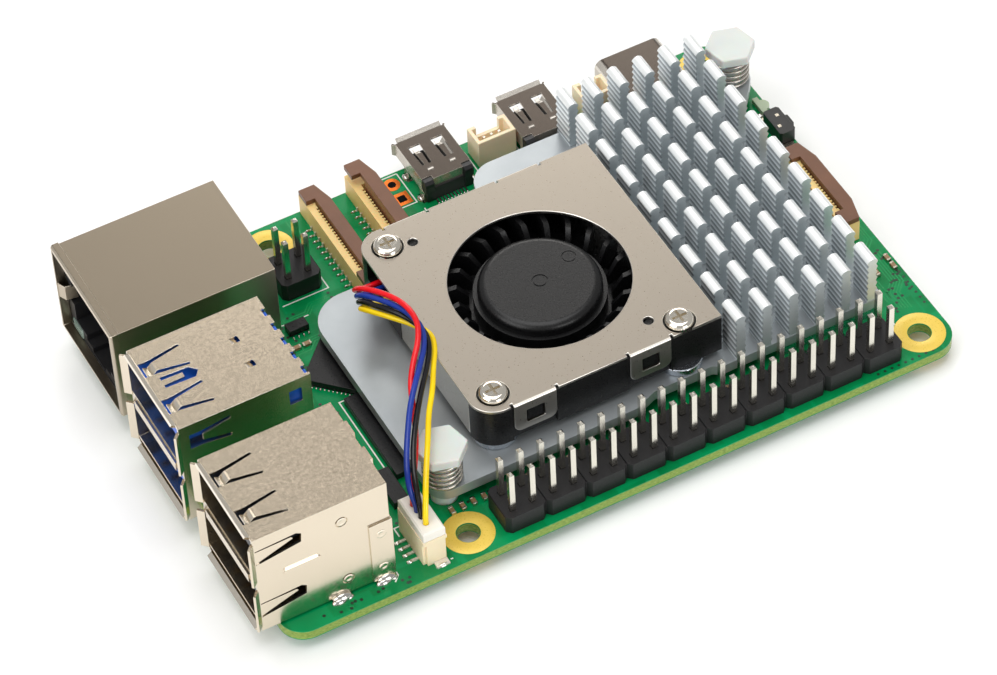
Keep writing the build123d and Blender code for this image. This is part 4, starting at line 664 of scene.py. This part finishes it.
pads = Build()
pads.turned(44.5, 1.7, [(0.5, 0.0), (1.0, 0.0), (1.0, 0.03), (0.5, 0.03)], 32, closed=True)
pads.slab([(43.5, 3.3), (45.5, 3.3), (45.5, 5.3), (43.5, 5.3)], 0.0, 0.03)
pads.done("bare_copper_pads", looks["pad_copper"], "contact_gold")
# A dark disc and square painted on the pads: painted shade standing in for the depth of the pads' holes.
holes = Build()
holes.turned(44.5, 1.7, [(0.52, 0.0), (0.52, 0.02), (0.3, 0.024)], 24)
holes.slab([(44.0, 3.8), (45.0, 3.8), (45.0, 4.8), (44.0, 4.8)], 0.03, 0.045)
holes.done("pad_hole_painted_shade", looks["painted_hole_shade"], "header_black")

solder = Build()
for x in (72.2, 77.6):
    solder.dome(x, 53.65, 0.7, 0.8, stretch=(1.8, 0.95))
    solder.dome(x + 0.5, 54.0, 0.55, 0.5, stretch=(1.7, 0.9))
    solder.dome(x - 0.7, 53.9, 0.45, 0.35, stretch=(1.3, 0.9))
for centre in (25.8, 39.2):
    for side in (-1, 1):
        for y in (1.5, 5.4):
            solder.dome(centre + side * 3.45, y, 0.38, 0.4, stretch=(0.9, 1.6))
for side in (-1, 1):
    for y in (1.2, 5.2):
        solder.dome(11.2 + side * 4.65, y, 0.38, 0.45, stretch=(0.9, 1.7))
for n in range(4):
    solder.dome(68.95, 49.95 + n, 0.26, 0.26, stretch=(1.7, 0.9))
solder.dome(66.0, 55.1, 0.42, 0.3, stretch=(2.1, 0.8))
for y in (13.9, 20.7):
    solder.dome(1.6, y, 0.45, 0.25, stretch=(1.4, 0.9))
# The underside: one cone of solder around every pin and tail.
spots = [(8.37 + 2.54 * n, 51.23 + 2.54 * m) for n in range(20) for m in (0, 1)]
spots += [(59.93 + 2.54 * n, 8.18 + 2.54 * m) for n in (0, 1) for m in (0, 1)]
for x, y in spots:
    cone = [(0.34, UNDERSIDE - 1.0), (0.42, UNDERSIDE - 0.6), (0.62, UNDERSIDE - 0.25), (0.85, UNDERSIDE)]
    solder.turned(x, y, cone, 14)
tails = [(x, y) for x in (71.0, 80.5) for y in (2.45, 17.95)]
tails += [(x, y) for x in (72.2, 77.6) for y in (22.7, 35.5, 40.6, 53.4)]
for x, y in tails:
    solder.dome(x, y, 0.75, -0.9, UNDERSIDE, stretch=(1.5, 0.9))
solder.done("solder_joints", looks["solder_bright"], "solder_tin", smooth=True)

# Tinned lands under the gull-wing tails of the ribbon connectors and the network chip.
lands = Build()
for face, middle, ways in ((55.8, 8.6, 22), (49.8, 8.6, 22), (3.95, 29.8, 16)):
    for n in range(ways):
        y = middle + (n - (ways - 1) / 2) * 0.5
        x = face + 0.62 if n % 2 == 0 else face - 3.35
        lands.dome(x, y, 0.2, 0.3, stretch=(1.9, 0.8))
for side in range(4):
    turn = math.radians(45 + 90 * side)
    for n in range(12):
        along, across = (n - 5.5) * 0.5, 3.55
        x = 62.7 + across * math.cos(turn) - along * math.sin(turn)
        y = 24.1 + across * math.sin(turn) + along * math.cos(turn)
        lands.dome(x, y, 0.15, 0.12)
for n in range(4):
    for y in (15.35, 17.45):
        lands.dome(63.4 + 0.63 * n, y, 0.2, 0.3, stretch=(0.7, 1.6))
for centre in (25.8, 39.2):
    for n in range(10):
        x = centre - 1.9 + 0.42 * n
        lands.box(x - 0.1, x + 0.1, 6.38, 7.2, 0.0, 0.16)
        lands.dome(x, 7.1, 0.14, 0.2, stretch=(0.9, 1.7))
lands.done("tinned_lands", looks["solder_bright"], "solder_tin", smooth=True)

chip_parts = [(64.4 + 1.3 * n, 19.0, "x") for n in range(2)]
chip_parts += [(66.4, 30.5 + 1.25 * n, "y") for n in range(7)]
chip_parts += [(69.0, 31.0 + 1.5 * n, "x") for n in range(6)]
chip_parts += [(22.5 + 1.35 * n, 49.0, "y") for n in range(30)]
chip_parts += [(38.4 + 1.45 * n, 8.4, "x") for n in range(3)]
chip_parts += [(41.6 + 1.5 * n, 12.6, "y") for n in range(4)]
chip_parts += [(0.75, 41.0, "y"), (0.75, 42.4, "y"), (3.0, 42.4, "y"), (4.3, 19.6, "x"), (4.3, 20.8, "x")]
chip_parts += [(69.8, 45.2, "y"), (69.8, 46.7, "y"), (68.6, 46.7, "y")]
caps = Build()
for x, y, along in chip_parts:
    for end in (-0.41, 0.41):
        if along == "x":
            caps.box(x + end - 0.12, x + end + 0.12, y - 0.28, y + 0.28, 0.0, 0.43)
        else:
            caps.box(x - 0.28, x + 0.28, y + end - 0.12, y + end + 0.12, 0.0, 0.43)
caps = caps.done("chip_end_caps", looks["cap_tin"], "solder_tin")
round_edges(caps, 0.04)

# Contacts in the power button's roof, and its tinned feet.
button_tin = Build()
button_tin.box(0.6, 1.05, 16.2, 16.65, 2.0, 2.04)
button_tin.box(1.25, 1.7, 17.9, 18.35, 2.0, 2.04)
for y0, y1 in ((14.5, 15.1), (19.5, 20.1)):
    button_tin.box(0.5, 2.0, y0, y1, 0.0, 0.25)
button_tin = button_tin.done("button_contacts", looks["cap_tin"], "solder_tin")
round_edges(button_tin, 0.03)

# Blue moulding that shows in the notches of the inner USB socket's rear edge.
blue_tabs = Build()
for n in range(5):
    y = 24.6 + 2.4 * n
    blue_tabs.box(71.28, 72.0, y + 0.12, y + 0.98, 13.8, 15.12)
blue_tabs = blue_tabs.done("blue_notch_tabs", finish["usb_blue"], "usb_blue")
round_edges(blue_tabs, 0.08)

# Rivets on the rear flap of the outer USB socket, and its two pressed dimples.
rivets = Build()
for x, z in ((72.4, 7.9), (72.4, 2.4), (76.8, 12.4), (76.6, 2.7)):
    face = 53.55 if x > 75 else 53.75
    profile = [(0.62, -0.1), (0.6, 0.03), (0.45, 0.1), (0.3, 0.04), (0.12, 0.02)]
    start = len(rivets.bm.verts)
    rivets.turned(0, 0, profile, 20)
    rivets.bm.verts.ensure_lookup_table()
    for vertex in rivets.bm.verts[start:]:
        local = (vertex.co - at(0, 0)) / MM
        vertex.co = at(x + local.x, face + local.z, z + local.y)
rivets.done("usb_rivets", finish["usb_shell"], "usb_shell", smooth=True)

# ---------------------------------------------------------------- floor
FLOOR_REACH = 3.0
floor_mesh = bpy.data.meshes.new("floor")
floor_mesh.from_pydata(
    [(x * FLOOR_REACH, y * FLOOR_REACH, FLOOR_Z) for x, y in ((-1, -1), (1, -1), (1, 1), (-1, 1))],
    [],
    [(0, 1, 2, 3)],
)
floor = bpy.data.objects.new("floor", floor_mesh)
bpy.context.scene.collection.objects.link(floor)
floor_mesh.materials.append(plastic("floor_paper", (0.97, 0.97, 0.97), (0.6, 0.7), 0.01))

# ---------------------------------------------------------------- fan wires
WIRE_DIAMETER = 0.66
wire_routes = {
    "red": [(55.0, 20.9, 7.5), (57.4, 20.9, 7.5), (59.0, 21.0, 8.0), (58.8, 22.2, 9.6),
            (57.89, 24.39, 10.72), (56.89, 27.09, 11.71), (56.37, 29.67, 12.32), (56.41, 32.3, 12.39),
            (57.6, 34.7, 12.1), (59.43, 36.78, 11.6), (60.86, 38.75, 10.47), (61.7, 41.0, 9.7),
            (62.8, 43.6, 9.3), (63.9, 45.7, 9.0), (65.1, 47.6, 8.3), (66.3, 49.3, 7.2), (66.7, 49.95, 5.9),
            (66.7, 49.95, 4.5)],
    "blue": [(55.0, 21.8, 7.5), (57.5, 21.8, 7.5), (59.2, 21.9, 8.0), (59.01, 23.07, 9.43),
             (58.17, 25.27, 10.43), (57.16, 27.76, 11.25), (56.36, 30.31, 11.6), (56.1, 32.8, 11.62),
             (57.1, 35.1, 11.45), (58.77, 37.22, 11.3), (60.44, 39.25, 11.23), (62.2, 41.4, 10.9),
             (63.8, 43.9, 10.6), (65.1, 46.0, 10.2), (66.32, 48.19, 9.4), (66.95, 49.9, 7.9),
             (66.7, 50.95, 5.9), (66.7, 50.95, 4.5)],
    "black": [(55.0, 22.7, 7.5), (57.6, 22.7, 7.5), (59.4, 22.8, 8.0), (59.31, 23.92, 9.28),
              (58.57, 26.06, 10.16), (57.53, 28.13, 10.68), (56.44, 30.2, 10.77), (55.8, 32.9, 10.88),
              (56.5, 35.1, 10.8), (58.0, 37.3, 10.6), (59.9, 39.7, 10.55), (61.7, 42.1, 10.4),
              (63.4, 44.6, 10.2), (64.78, 46.81, 9.85), (65.8, 48.9, 9.1), (66.45, 50.8, 7.8),
              (66.7, 51.95, 5.9), (66.7, 51.95, 4.5)],
    "yellow": [(55.0, 23.6, 7.5), (57.7, 23.6, 7.5), (59.6, 23.7, 8.0), (59.52, 24.92, 8.98),
               (58.73, 26.74, 9.63), (57.53, 28.63, 9.95), (56.19, 30.61, 10.06), (55.1, 32.9, 10.15),
               (55.8, 35.0, 10.1), (57.2, 37.2, 10.05), (58.8, 40.1, 10.0), (60.8, 42.9, 9.97),
               (62.4, 45.8, 9.9), (63.7, 48.0, 9.7), (64.9, 50.0, 9.2), (65.9, 51.7, 8.2),
               (66.6, 52.8, 6.5), (66.7, 52.95, 5.6), (66.7, 52.95, 4.5)],
}
for colour, route in wire_routes.items():
    curve = bpy.data.curves.new(f"wire_{colour}", "CURVE")
    curve.dimensions = "3D"
    spline = curve.splines.new("NURBS")
    spline.points.add(len(route) - 1)
    for point, place in zip(spline.points, route):
        point.co = (*at(*place), 1.0)
    spline.order_u = 3
    spline.use_endpoint_u = True
    spline.resolution_u = 10
    curve.bevel_depth = WIRE_DIAMETER / 2 * MM
    curve.bevel_resolution = 6
    curve.use_fill_caps = True
    curve.materials.append(finish[f"wire_{colour}"])
    wire = bpy.data.objects.new(f"wire_{colour}", curve)
    bpy.context.scene.collection.objects.link(wire)
    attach(wire, "board")
    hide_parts(f"fan_wire_{colour}")
